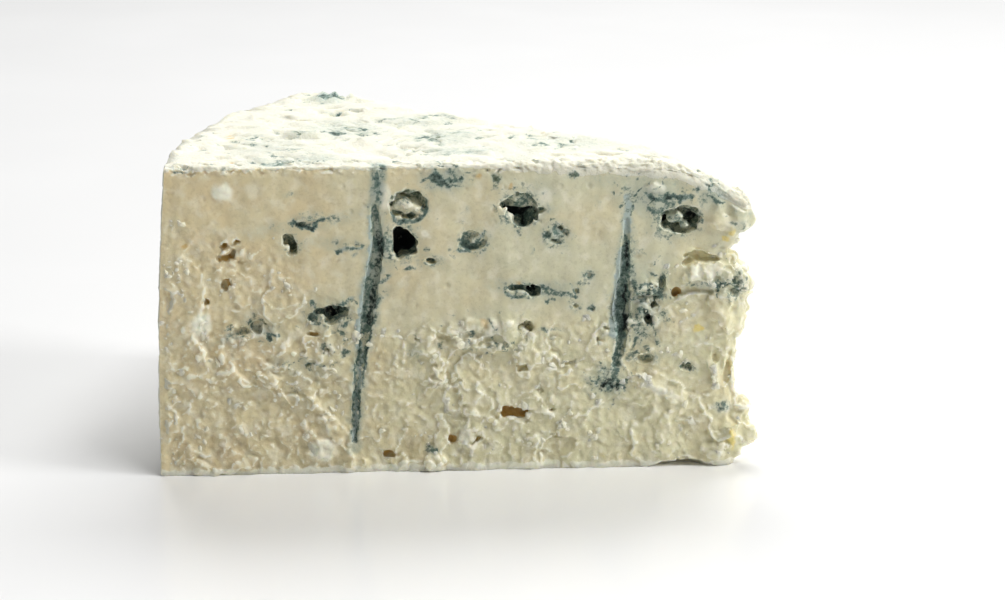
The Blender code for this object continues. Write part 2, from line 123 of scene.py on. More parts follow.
# Eyes of the long cut: name, x, z, half width, half height, depth, lean in degrees and lining
FRONT_EYES = (
    ("slit_eye", -70.8, 55.5, 3.2, 3.8, 9.0, 12, "black"),
    ("plugged_eye", -69.3, 64.8, 4.1, 3.5, 4.5, 0, "green"),
    ("cave", -43.4, 63.4, 4.1, 3.9, 6.5, 20, "black"),
    ("cave_tail", -39.2, 63.0, 1.9, 0.8, 2.0, -8, "grey"),
    ("crater", -35.0, 57.3, 2.6, 2.4, 3.0, 0, "teal"),
    ("shallow_crater", -54.4, 55.7, 3.1, 2.2, 2.0, 0, "teal"),
    ("tall_pit", -96.1, 55.7, 1.6, 2.6, 4.0, -15, "green"),
    ("torn_pit", -109.2, 53.2, 2.8, 2.0, 2.6, 30, "tan"),
    ("green_crack", -87.7, 38.8, 4.4, 2.0, 4.5, -12, "teal"),
    ("green_crack_hole", -86.8, 39.0, 1.9, 1.7, 5.0, 0, "black"),
    ("black_eye", -40.6, 43.7, 1.7, 1.3, 4.5, 0, "black"),
    ("black_eye_wing", -42.8, 44.2, 3.6, 0.9, 2.2, 8, "teal"),
    ("olive_eye", -42.2, 34.5, 1.8, 2.4, 3.0, 0, "olive"),
    ("ochre_slot", -44.4, 14.2, 4.0, 1.3, 4.0, 0, "ochre"),
    ("ochre_slot_end", -47.0, 14.4, 1.4, 1.7, 4.0, 0, "ochre"),
    ("tip_cavity", -6.0, 60.2, 4.9, 3.2, 4.5, -8, "green"),
    ("cavity_left_hole", -9.6, 59.9, 1.3, 1.5, 5.0, 10, "black"),
    ("cavity_right_hole", -3.9, 60.6, 1.4, 1.3, 5.0, -12, "black"),
    ("tip_undercut", -1.2, 51.2, 4.4, 1.1, 3.0, 8, "plain"),
    # The tan lining of the low undercut is painted shade under the overhanging lobe
    ("tip_undercut_low_shade", -4.2, 50.2, 1.8, 0.9, 2.4, -20, "tan"),
    ("green_hole", -12.2, 39.9, 1.1, 1.6, 3.2, 0, "green"),
    ("vein_pit", -13.2, 36.4, 1.6, 1.5, 4.0, 0, "black"),
    ("lump_gap", -14.0, 41.9, 3.2, 0.7, 2.4, 4, "black"),
    ("lump_side_gap", -10.5, 45.0, 0.6, 1.9, 2.0, 10, "teal"),
    ("grey_hollow", -14.1, 26.9, 2.2, 0.9, 1.6, -8, "grey"),
    ("orange_pit", -6.9, 42.5, 1.0, 1.4, 2.8, 0, "ochre"),
    ("crescent_slit", -92.2, 60.7, 3.7, 0.5, 1.8, -9, "teal"),
    ("crumb_hole_a", -110.5, 55.6, 1.0, 1.1, 2.6, 0, "ochre"),
    ("crumb_hole_b", -107.8, 56.6, 0.9, 0.7, 2.2, 0, "ochre"),
    ("crumb_hole_c", -111.5, 52.5, 0.8, 0.8, 2.2, 0, "ochre"),
    ("crumb_hole_d", -108.0, 52.3, 0.8, 0.8, 2.4, 0, "ochre"),
    ("crumb_hole_e", -110.0, 46.6, 1.0, 1.3, 2.4, 0, "ochre"),
    ("crumb_hole_f", -113.0, 51.4, 0.6, 0.8, 1.8, 0, "ochre"),
    ("round_pit", -114.6, 42.3, 0.9, 0.9, 2.0, 0, "ochre"),
    ("green_pit", -103.3, 35.9, 1.0, 1.5, 2.0, 0, "olive"),
    ("left_crack", -107.6, 34.8, 2.8, 0.5, 1.2, -15, "grey"),
    ("small_green_pit", -88.2, 30.6, 0.9, 1.0, 1.8, 0, "green"),
    ("left_ochre_crack", -91.4, 34.0, 3.0, 0.4, 1.2, -4, "ochre"),
    ("round_blue_pit", -23.3, 34.4, 1.0, 1.0, 1.8, 0, "teal"),
    ("olive_slit", -25.2, 31.5, 0.7, 1.3, 1.8, 8, "olive"),
    ("vein_dot_a", -27.6, 47.4, 0.7, 0.6, 1.0, 0, "teal"),
    ("vein_dot_b", -30.4, 43.7, 0.7, 0.9, 1.2, 0, "teal"),
    ("vein_dot_c", -30.6, 40.1, 0.7, 0.7, 1.2, 0, "teal"),
    ("vein_dot_d", -26.7, 39.2, 0.6, 0.6, 1.0, 0, "teal"),
    ("olive_dot", -67.3, 32.5, 0.9, 0.8, 1.5, 0, "olive"),
    # The tan lining of the ochre hollow is painted warm shade
    ("ochre_hollow_shade", -42.7, 25.2, 1.7, 1.2, 1.8, 0, "tan"),
    ("ochre_crack", -31.3, 26.1, 3.3, 0.45, 1.8, -5, "ochre"),
    ("ochre_dot", -36.2, 14.6, 1.1, 0.8, 2.0, 0, "ochre"),
    ("red_crack", -53.8, 7.2, 2.2, 0.55, 1.8, -38, "ochre"),
    ("plate_gap", -59.6, 7.6, 1.1, 0.8, 1.8, 0, "ochre"),
    ("foot_ochre_pit", -74.4, 4.2, 1.2, 0.7, 1.8, 0, "ochre"),
    ("wide_pit", -38.8, 19.8, 1.0, 1.1, 1.6, 0, "tan"),
    ("low_arc", -34.4, 8.2, 2.7, 0.5, 1.4, 10, "ochre"),
    ("branch_slit", -64.2, 51.4, 1.5, 0.8, 2.4, 5, "black"),
    ("cross_crack", -78.3, 41.9, 2.2, 0.5, 1.6, -32, "teal"),
    ("dash_left", -81.0, 55.3, 2.7, 0.4, 1.0, 6, "teal"),
    ("green_dash", -4.4, 24.6, 1.4, 0.7, 1.4, 18, "green"),
    ("foot_gap", -88.5, 0.2, 2.4, 0.7, 2.0, 0, "plain"),
    # The tan lining of the gap under the lifted foot is painted warm shade
    ("lifted_foot", -5.5, 0.2, 8.0, 1.3, 4.0, 0, "tan"),
    ("tip_notch", 8.6, 52.2, 3.6, 1.9, 9.0, 12, "plain"),
    ("tip_recess", 5.6, 24.5, 0.8, 4.6, 1.6, 6, "plain"),
    ("tip_fold", 2.4, 27.0, 0.5, 4.0, 0.9, -8, "plain"),
)

# Eyes of the far cut: name, place along the cut from the tip, z and the rest as above
BACK_EYES = (
    ("far_eye", 34.0, 58.0, 3.6, 3.0, 6.0, 10, "black"),
    ("far_slit", 66.0, 49.0, 5.5, 1.9, 4.0, -20, "teal"),
    ("far_pit", 92.0, 61.0, 2.6, 2.4, 4.0, 0, "green"),
    ("far_crater", 52.0, 31.0, 3.0, 2.6, 3.0, 0, "teal"),
    ("far_low_pit", 101.0, 27.0, 3.8, 2.4, 3.5, 15, "ochre"),
    ("far_tip_pit", 15.0, 38.0, 2.2, 2.8, 3.0, 0, "olive"),
    ("far_dot_a", 44.0, 47.0, 1.2, 1.0, 2.0, 0, "black"),
    ("far_dot_b", 74.0, 33.0, 1.6, 1.1, 2.2, 20, "green"),
    ("far_dot_c", 60.0, 62.0, 1.8, 1.0, 2.0, -10, "teal"),
    ("far_dot_d", 112.0, 52.0, 1.4, 1.6, 2.4, 0, "olive"),
    ("far_dot_e", 22.0, 22.0, 1.3, 0.9, 2.0, 0, "ochre"),
    ("far_dot_f", 39.0, 15.0, 2.4, 0.9, 2.2, 10, "ochre"),
    ("far_dot_g", 90.0, 13.0, 1.6, 0.9, 2.0, -12, "ochre"),
    ("far_crack", 96.0, 43.0, 4.2, 0.6, 1.8, 24, "teal"),
)

# Slits in the rind just behind its edge: name, x, y, half length, half width, depth, turn and lining
RIND_SLITS = (
    ("slit_near_cave", -35.0, 9.0, 3.2, 1.3, 1.4, -6, "tan"),
    ("slit_mid", -23.5, 9.5, 4.8, 1.5, 1.6, -12, "tan"),
    ("slit_tip", -13.5, 7.5, 3.2, 1.3, 1.5, -14, "tan"),
    ("slit_rim", -86.0, 55.5, 3.0, 1.6, 1.3, 6, "tan"),
    ("slit_middle", -63.4, 15.2, 3.2, 0.9, 1.2, 10, "green"),
    ("slit_dark", -80.4, 6.0, 3.0, 0.8, 1.2, 4, "black"),
    ("slit_long", -94.0, 50.0, 2.6, 0.9, 1.0, -6, "tan"),
    ("slit_ochre", -109.4, 7.0, 1.6, 0.9, 1.1, 0, "ochre"),
)

# Needle channels: the points x, z, radius and depth from the top down
RIM_SIDE_CHANNEL = (
    (-77.0, 64.5, 0.7, 0.1),
    (-76.3, 55.7, 1.4, 0.5),
    (-78.3, 43.5, 1.6, 0.6),
    (-79.5, 35.0, 1.5, 0.6),
    (-80.7, 29.0, 1.2, 0.5),
    (-81.6, 22.0, 0.9, 0.4),
    (-82.3, 8.0, 0.75, 0.3),
)
TIP_SIDE_CHANNEL = (
    (-18.7, 60.5, 0.6, 0.1),
    (-18.9, 53.0, 1.0, 0.4),
    (-19.4, 45.0, 1.3, 0.6),
    (-19.8, 37.0, 1.5, 0.7),
    (-19.9, 31.5, 1.4, 0.6),
    (-21.0, 25.5, 0.8, 0.2),
)
FAR_RIM_CHANNEL = ((86.0, 70.0, 1.3, 0.3), (84.0, 40.0, 1.5, 0.5), (81.0, 6.0, 0.9, 0.4))
FAR_TIP_CHANNEL = ((27.0, 64.0, 1.1, 0.3), (25.5, 20.0, 1.4, 0.4))
FRONT_CHANNELS = (("rim_side_channel", RIM_SIDE_CHANNEL), ("tip_side_channel", TIP_SIDE_CHANNEL))
FAR_CHANNELS = (("far_rim_channel", FAR_RIM_CHANNEL), ("far_tip_channel", FAR_TIP_CHANNEL))

# Lumps of paste and crust: name, centre x, y, z, radii x, y, z and lean in degrees
LUMPS = (
    ("upper_lobe", 5.0, 3.4, 61.0, 5.7, 4.4, 6.6, 12),
    ("spiky_shelf", 3.4, 2.2, 47.0, 5.6, 3.6, 2.4, -10),
    ("cream_lump", 5.0, 2.6, 38.6, 5.4, 4.4, 6.6, 0),
    ("waist", 2.6, 3.0, 24.0, 4.6, 4.0, 8.0, 0),
    ("low_lobe", 6.4, 3.0, 8.4, 6.0, 4.6, 6.8, -14),
    ("foot_flake", -89.8, 0.4, 5.6, 4.0, 1.6, 3.2, 15),
    ("foot_lump", -84.0, 0.3, 3.2, 2.4, 1.6, 2.4, 0),
    ("foot_crumb", -64.2, 0.2, 2.6, 2.3, 1.3, 1.7, 0),
    ("torn_ridge", -98.5, 0.4, 20.5, 2.0, 1.1, 7.5, -34),
    ("mould_lump", -87.5, 72.5, 72.6, 7.0, 5.5, 2.2, 0),
    ("rind_lump", -93.5, 33.7, 74.0, 5.0, 4.0, 1.2, 0),
    ("white_chip", -111.8, 0.1, 68.3, 2.4, 0.7, 1.9, 12),
    ("pale_flake", -117.6, 0.1, 36.6, 2.3, 0.8, 3.0, 12),
    ("left_flake_a", -108.8, 0.1, 36.2, 1.8, 0.8, 0.9, -20),
    ("left_flake_b", -105.6, 0.0, 33.8, 2.0, 0.8, 0.8, 10),
    ("left_ridge", -115.2, 0.3, 27.8, 1.4, 0.9, 5.0, -14),
    ("tip_white_crumb", -12.2, 0.1, 68.2, 1.8, 0.9, 1.1, 10),
    ("vein_lump_a", -15.4, 0.3, 44.0, 1.5, 1.1, 1.2, 0),
    ("vein_lump_b", -12.6, 0.1, 44.6, 1.5, 1.2, 1.4, 10),
    ("vein_lump_c", -9.2, 0.3, 43.4, 1.2, 1.0, 1.6, 0),
    ("flake_a", -2.2, -0.2, 46.6, 2.6, 1.2, 1.0, 25),
    ("flake_b", 1.4, -0.4, 47.4, 2.4, 1.2, 0.9, -18),
    ("flake_c", 4.2, -0.4, 45.0, 2.2, 1.4, 1.2, 30),
    ("green_mould_lump", 6.6, 1.4, 44.6, 3.0, 2.2, 3.6, 0),
    ("shingle_a", -59.0, 0.1, 34.8, 2.6, 0.9, 1.5, -8),
    ("shingle_b", -54.4, 0.0, 35.6, 2.6, 1.0, 1.7, 12),
    ("shingle_c", -50.0, 0.1, 35.0, 2.2, 0.9, 1.8, -12),
    ("shingle_d", -57.6, 0.1, 31.4, 2.2, 0.9, 1.2, 14),
    ("shingle_e", -52.6, 0.2, 31.6, 2.4, 0.9, 1.2, -6),
    ("shingle_f", -46.6, 0.1, 34.2, 1.8, 0.9, 2.2, 20),
    ("shingle_g", -47.6, 0.2, 30.0, 1.8, 0.8, 1.0, -14),
    ("grey_lump", -57.2, 0.2, 11.8, 2.3, 1.1, 1.9, -10),
    ("white_plate", -56.6, 0.2, 8.6, 1.9, 0.8, 1.8, 15),
    ("foot_lump_b", -61.8, 0.2, 2.6, 1.5, 1.2, 1.5, 0),
    ("foot_lump_c", -80.0, 0.2, 2.6, 1.4, 1.1, 1.3, 0),
    ("crumbly_lump", -86.0, 0.3, 5.6, 1.8, 1.2, 3.2, -8),
    ("arc_crumb", -30.2, 0.0, 6.3, 0.9, 0.8, 0.8, 0),
    ("zigzag_a", -13.4, 0.1, 20.8, 4.6, 0.8, 1.5, 16),
    ("zigzag_b", -7.0, 0.1, 17.0, 3.4, 0.9, 2.6, 30),
    ("zigzag_c", -8.4, 0.2, 12.4, 4.2, 0.8, 1.6, -34),
    ("tip_crumb", 5.0, 0.2, 14.0, 1.3, 1.2, 1.2, 0),
    ("low_knob", 3.0, 1.0, 4.0, 3.6, 2.4, 2.8, 0),
)

# Lumps that fill or narrow an eye after it is cut, laid out as above
PLUGS = (
    ("egg_in_eye", -70.0, 2.2, 64.4, 2.7, 2.4, 2.0, 10),
    ("egg_side", -67.4, 2.6, 63.2, 1.4, 2.2, 1.6, -20),
    ("hole_flap", -73.9, 1.4, 55.6, 1.3, 1.6, 3.4, 8),
    ("hole_flap_low", -73.2, 1.0, 52.6, 1.0, 1.2, 1.3, -20),
    ("cave_flap", -46.2, 1.6, 60.8, 2.3, 1.6, 1.5, 35),
    ("cave_roof", -42.8, 4.6, 65.8, 4.2, 3.4, 2.4, -8),
    ("crater_plug", -35.6, 1.2, 57.6, 1.9, 1.4, 1.4, 20),
    ("crater_chip", -33.6, 1.0, 56.0, 1.0, 1.0, 0.9, -30),
    ("shallow_plug", -53.4, 1.1, 56.4, 2.3, 1.0, 1.3, -25),
    ("crescent_plug", -91.8, 0.25, 62.0, 3.2, 0.6, 1.1, -6),
    ("cavity_crumb", -7.4, 1.4, 60.8, 2.0, 1.6, 1.2, -20),
    ("cavity_crumb_b", -5.2, 1.8, 58.9, 1.2, 1.4, 1.0, 10),
    ("pit_chip", -97.0, 1.0, 54.2, 0.8, 1.0, 1.4, 20),
    ("crack_plate", -89.6, 0.7, 37.9, 1.6, 1.0, 1.2, 30),
    ("wing_tongue", -43.6, 0.6, 43.4, 1.8, 0.8, 0.8, 8),
    ("olive_tongue", -43.0, 0.9, 33.0, 0.9, 1.0, 1.6, 10),
    ("shelf_flake_a", -2.8, -0.2, 48, 2.0, 1.7, 2.6, 28),
    ("shelf_flake_b", 0.2, -0.6, 47.6, 1.7, 1.6, 2.7, -16),
    ("shelf_flake_c", 2.6, -0.5, 48.6, 2.0, 1.4, 1.8, 20),
    ("shelf_flake_d", -4.6, 0, 46, 1.4, 1.2, 2.0, -30),
    ("shelf_flake_e", 1.6, -0.6, 44.8, 2.0, 1.3, 1.3, 12),
    ("shelf_mould_a", 5.4, -0.1, 47.6, 2.4, 1.9, 2.2, 0),
    ("shelf_mould_b", 7.6, 0.7, 45.4, 2.3, 1.9, 2.4, 20),
    ("shelf_mould_c", 5, -0.4, 44, 2.2, 1.7, 1.8, -20),
    ("vein_curd_a", -15.4, 0.7, 39.2, 1.2, 1.0, 1.3, 10),
    ("vein_curd_b", -11.6, 0.5, 36.2, 1.1, 1.0, 1.5, -20),
    ("pit_crumb_a", -110.2, 0.9, 54.1, 1.3, 1.2, 1.1, 0),
    ("pit_crumb_b", -108.4, 0.8, 51.6, 1.2, 1.1, 1.2, 15),
    ("pit_crumb_c", -106.8, 0.5, 53.8, 1.1, 1.0, 1.2, -20),
    ("pit_crumb_d", -111.6, 0.6, 50.2, 1.4, 1.0, 1.0, 25),
    ("pit_crumb_e", -108.8, 0.4, 49.2, 1.3, 0.9, 1.1, -10),
)

# Stains, specks and painted shade of the long cut: name, x, z, half width, half height, lean, lining and
# strength
FRONT_MARKS = (
    ("white_chip_tint", -111.8, 68.3, 2.0, 1.6, 12, "chip", 1.0),
    ("pale_flake_tint", -117.6, 36.6, 1.9, 2.6, 12, "chip", 0.9),
    ("plate_chip", -104.4, 35.0, 1.6, 1.2, -10, "chip", 0.8),
    ("foot_flake_tint", -89.6, 6.0, 2.6, 2.6, 15, "chip", 0.8),
    ("hole_side_chip", -74.4, 66.8, 1.2, 2.4, 0, "chip", 0.8),
    ("cave_side_chip", -37.8, 66.4, 1.6, 1.8, 0, "chip", 0.7),
    ("slit_chip", -65.2, 57.8, 0.6, 0.9, 20, "chip", 0.8),
    ("plate_white", -56.6, 8.6, 1.7, 1.6, 15, "chip", 0.8),
    ("shelf_chip_a", -2.4, 47.6, 1.6, 1.8, 20, "chip", 0.9),
    ("shelf_chip_b", 1.4, 48.2, 1.8, 1.4, -18, "chip", 0.9),
    ("shelf_chip_c", -0.4, 44.6, 1.6, 1.2, 0, "chip", 0.8),
    ("vein_chip_a", -15.4, 41.6, 1.2, 1.2, 10, "chip", 0.8),
    ("vein_chip_b", -12.0, 35.8, 1.0, 1.4, -20, "chip", 0.8),
    ("net_chip", -12.2, 68.0, 1.8, 1.0, 10, "chip", 0.9),
    ("flaky_chip_a", -57.0, 34.4, 2.4, 1.2, -8, "chip", 0.7),
    ("flaky_chip_b", -49.6, 34.8, 2.0, 1.6, -12, "chip", 0.7),
    ("zigzag_chip", -9.4, 18.4, 4.0, 0.9, 24, "chip", 0.7),
    ("patch_white", 5.0, 14.0, 1.1, 1.1, 0, "chip", 0.9),
    ("right_net", -12.6, 65.6, 8.5, 4.4, 12, "net", 1.2),
    ("tip_net", 1.0, 65.4, 4.4, 3.6, 0, "net", 1.1),
    ("vein_net_wide", -14.8, 39.0, 5.0, 10.5, 0, "net", 1.2),
    ("blue_net", -60.4, 71.0, 6.0, 3.0, 0, "net", 1.2),
    ("crack_net", -87.0, 38.8, 6.6, 4.2, -8, "net", 1.1),
    ("left_net", -104.0, 35.4, 6.6, 3.2, 8, "net", 0.9),
    ("hole_net", -74.0, 54.0, 2.4, 6.0, 0, "net", 1.0),
    ("patch_net", -22.8, 21.6, 4.6, 4.4, 0, "net", 1.2),
    ("flaky_net", -52.0, 33.0, 10.5, 5.0, 0, "net", 0.7),
    ("eye_three_net", -37.0, 43.6, 8.4, 2.4, 0, "net", 1.0),
    ("speck_net", -94.0, 26.4, 7.0, 2.8, 0, "net", 0.8),
    ("crater_net", -35.0, 57.3, 3.6, 3.4, 0, "net", 1.0),
    ("shallow_net", -54.4, 55.6, 4.4, 3.4, 0, "net", 0.9),
    ("cave_net", -43.4, 63.4, 6.0, 5.8, 0, "net", 0.8),
    ("plug_net", -69.4, 65.0, 5.2, 4.6, 0, "net", 0.8),
    ("branch_net", -84.5, 33.5, 5.0, 4.0, 0, "net", 0.7),
    ("lobe_net", 8.0, 58.0, 2.6, 3.0, 0, "net", 1.0),
    ("shelf_net", 4.6, 45.0, 5.6, 4.0, 0, "net", 1.0),
    ("smudge", -96.6, 67.6, 1.9, 0.9, 0, "grey", 0.55),
    ("crescent_shade", -92.2, 61.4, 4.2, 2.2, -8, "grey", 0.75),
    ("crescent_end", -88.8, 61.6, 1.0, 0.9, 0, "teal", 0.9),
    ("crescent_start", -95.6, 60.4, 0.9, 0.7, 0, "teal", 0.9),
    ("dot_above_pit", -99.7, 59.2, 0.9, 0.9, 0, "green", 0.8),
    ("chip_shade", -115.9, 69.0, 1.3, 2.2, 0, "tan", 0.8),
    ("orange_speck", -120.7, 55.7, 0.7, 0.7, 0, "ochre", 0.9),
    ("left_smudge", -118.2, 54.0, 2.2, 1.0, 0, "tan", 0.6),
    ("flake_shade", -121.6, 37.8, 1.1, 2.2, 0, "tan", 0.7),
    ("pit_halo", -96.1, 55.6, 2.8, 3.6, -15, "grey", 0.7),
    ("plate_tint", -108.0, 35.0, 4.2, 2.6, -10, "veil", 0.55),
    ("crack_patch", -91.0, 38.4, 2.4, 2.2, 0, "grey", 0.95),
    ("crack_halo", -87.0, 38.6, 5.6, 3.4, -10, "veil", 0.7),
    ("crack_low_branch", -84.2, 36.4, 2.2, 0.8, -30, "teal", 0.9),
    ("specks", -84.2, 29.4, 1.1, 1.1, 0, "teal", 0.8),
    ("dash_one", -98.4, 27.1, 1.4, 0.5, -20, "teal", 0.8),
    ("dash_two", -93.0, 26.0, 1.0, 0.5, 12, "olive", 0.8),
    ("dash_three", -81.3, 53.2, 1.1, 0.4, 0, "teal", 0.85),
    ("ridge_specks", -96.0, 20.5, 1.0, 3.0, -30, "olive", 0.5),
    ("blue_patch", -60.2, 71.2, 5.0, 2.3, 0, "grey", 1.0),
    ("blue_patch_dark_a", -63.0, 72.3, 1.3, 1.0, 0, "teal", 1.1),
    ("blue_patch_dark_b", -59.9, 72.2, 1.1, 1.0, 0, "teal", 1.1),
    ("blue_patch_line", -58.7, 69.4, 2.6, 0.45, 0, "teal", 0.9),
    ("ochre_dots", -53.1, 71.2, 0.9, 0.8, 0, "ochre", 0.8),
    ("green_spot_a", -48.9, 70.8, 1.4, 1.3, 0, "green", 1.1),
    ("green_spot_b", -49.2, 68.7, 0.9, 0.8, 0, "green", 0.9),
    ("brown_dot", -45.6, 68.9, 0.5, 0.5, 0, "ochre", 0.8),
    ("oblique_cut", -40.8, 69.4, 3.6, 0.35, 32, "tan", 0.9),
    ("oblique_cut_b", -34.6, 68.0, 3.8, 0.3, 18, "tan", 0.6),
    ("top_spot", -31.2, 71.3, 1.6, 1.2, 0, "green", 0.9),
    ("plug_rim", -69.4, 65.4, 4.6, 3.8, 0, "green", 0.55),
    ("eye_rim", -70.8, 55.6, 4.2, 4.9, 12, "green", 0.6),
    ("eye_flap_shade", -74.2, 55.6, 1.8, 3.2, 5, "teal", 1.0),
    ("cave_rim", -43.6, 63.2, 4.9, 4.9, 20, "green", 0.6),
    ("cave_powder", -38.6, 67.2, 2.9, 3.4, 0, "veil", 0.8),
    ("cave_flap_tint", -46.0, 61.0, 2.2, 1.9, 0, "grey", 0.7),
    ("faint_dots", -56.0, 63.4, 1.1, 0.9, 0, "grey", 0.5),
    ("shallow_rim", -54.4, 55.6, 3.6, 2.9, 0, "grey", 0.8),
    ("shallow_dark", -56.2, 54.2, 2.4, 1.0, 25, "teal", 0.8),
    ("crater_rim", -35.0, 57.3, 3.0, 2.8, 0, "teal", 0.95),
    ("mid_dots", -25.8, 65.1, 1.0, 1.2, 0, "grey", 0.5),
    ("mid_dots_low", -26.1, 60.2, 1.0, 0.5, 0, "grey", 0.4),
    ("dash_mid", -65.3, 54.2, 0.6, 0.6, 0, "teal", 0.9),
    ("purple_arc", -69.1, 49.4, 1.6, 0.55, -10, "teal", 0.8),
    ("branch", -74.0, 47.5, 1.6, 0.6, -30, "teal", 0.9),
    ("dash_right", -40.9, 53.4, 0.5, 1.0, 0, "teal", 0.8),
    ("eye_three_rim", -42.3, 44.0, 4.6, 2.2, 4, "grey", 0.9),
    ("eye_three_line", -34.8, 42.8, 4.0, 0.5, 6, "teal", 0.85),
    ("eye_three_ochre", -43.8, 45.4, 0.7, 0.7, 0, "ochre", 0.9),
    ("vein_tint", -29.0, 42.5, 4.6, 5.0, 0, "veil", 0.45),
    ("line_low", -36.8, 34.2, 4.2, 0.35, 5, "teal", 0.6),
    ("flaky_tint", -52.0, 33.0, 9.5, 5.0, 0, "veil", 0.35),
    ("flaky_ochre", -51.9, 36.2, 1.4, 1.2, 0, "ochre", 0.7),
    ("flaky_line_a", -56.0, 29.4, 2.0, 0.6, 8, "teal", 0.7),
    ("flaky_line_b", -50.8, 30.2, 1.6, 0.6, -14, "teal", 0.7),
    ("olive_edge", -42.0, 34.4, 2.4, 3.2, 0, "olive", 0.5),
    ("grey_stain", -67.8, 29.8, 2.0, 2.2, 0, "grey", 0.7),
    ("powder_band", -18.5, 66.0, 1.9, 7.0, 2, "veil", 0.95),
    ("right_streaks", -12.6, 65.0, 6.4, 2.4, 12, "grey", 0.8),
    ("right_streak_dark", -10.0, 64.4, 3.6, 0.7, 16, "teal", 0.9),
    ("cavity_rim", -6.8, 60.0, 6.0, 4.6, -6, "teal", 0.85),
    ("tip_patch", 0.9, 66.0, 3.4, 2.8, 10, "grey", 1.0),
    ("tip_patch_dark", 1.9, 64.4, 1.4, 0.8, 0, "teal", 1.0),
    ("tip_crack", 5.9, 59.2, 0.8, 0.6, 0, "green", 0.9),
    ("tip_green", 9.0, 57.0, 1.5, 1.7, 0, "green", 0.8),
    ("tip_yellow_a", 4.1, 55.5, 1.1, 0.8, 0, "yellow", 1.0),
    ("tip_yellow_b", 5.5, 57.4, 0.8, 0.9, 0, "yellow", 1.0),
    ("tip_yellow_c", -1.5, 33.9, 1.5, 0.9, 0, "yellow", 1.0),
    ("tip_yellow_d", 6.9, 6.8, 0.8, 3.4, 0, "yellow", 0.9),
    ("foot_yellow", -24.1, 3.0, 1.8, 1.1, 0, "yellow", 0.5),
    ("vein_net", -14.5, 37.5, 5.0, 8.5, 0, "veil", 0.75),
    ("vein_net_dark", -15.2, 35.0, 3.2, 4.6, 10, "teal", 0.7),
    ("vein_arc", -10.4, 37.4, 1.5, 2.0, 0, "teal", 0.8),
    ("vein_dots", -11.6, 31.0, 1.2, 1.6, 0, "teal", 0.8),
    ("flake_shadow", -1.6, 44.8, 3.6, 1.2, 0, "teal", 0.75),
    ("lump_mould", 6.6, 44.6, 3.6, 4.0, 0, "green", 0.75),
    # Painted warm shade under the overhanging shelf of the tip
    ("shade_under_shelf", -0.6, 50.0, 4.4, 1.6, 0, "tan", 0.8),
    ("teal_patch", -22.8, 21.2, 4.2, 3.6, 0, "teal", 0.75),
    ("teal_patch_left", -25.2, 22.0, 0.8, 2.6, 18, "teal", 1.0),
    ("teal_patch_right", -20.8, 21.4, 0.8, 3.4, -14, "teal", 1.0),
    ("teal_patch_bar", -22.8, 20.6, 2.6, 0.7, 0, "teal", 1.0),
    ("blue_low", -20.5, 26.4, 1.5, 2.2, 0, "grey", 0.9),
    ("green_low", -64.6, 5.7, 1.4, 1.3, 0, "green", 0.85),
    ("teal_low", 4.7, 14.6, 2.0, 1.5, 0, "teal", 0.8),
    ("dark_low", -63.1, 5.2, 0.8, 0.6, 0, "teal", 0.8),
    # Painted warm shade under the lifted foot of the tip
    ("shade_under_foot", -3.0, 1.6, 8.0, 1.4, 0, "tan", 0.8),
    ("slot_halo", -44.4, 14.2, 4.6, 2.0, 0, "tan", 0.6),
    ("low_tan_a", -69.5, 10.0, 1.0, 1.0, 0, "tan", 0.7),
    ("low_tan_b", -70.0, 20.0, 1.0, 0.9, 0, "olive", 0.5),
    ("low_tan_c", -4.6, 10.4, 1.0, 0.8, 0, "ochre", 0.6),
    ("low_tan_d", -53.5, 25.6, 1.2, 0.8, 0, "tan", 0.7),
    ("low_tan_e", -74.8, 12.4, 1.0, 0.9, 0, "tan", 0.7),
    ("upper_tan", -112.0, 72.0, 9.0, 1.2, 0, "tan", 0.5),
)

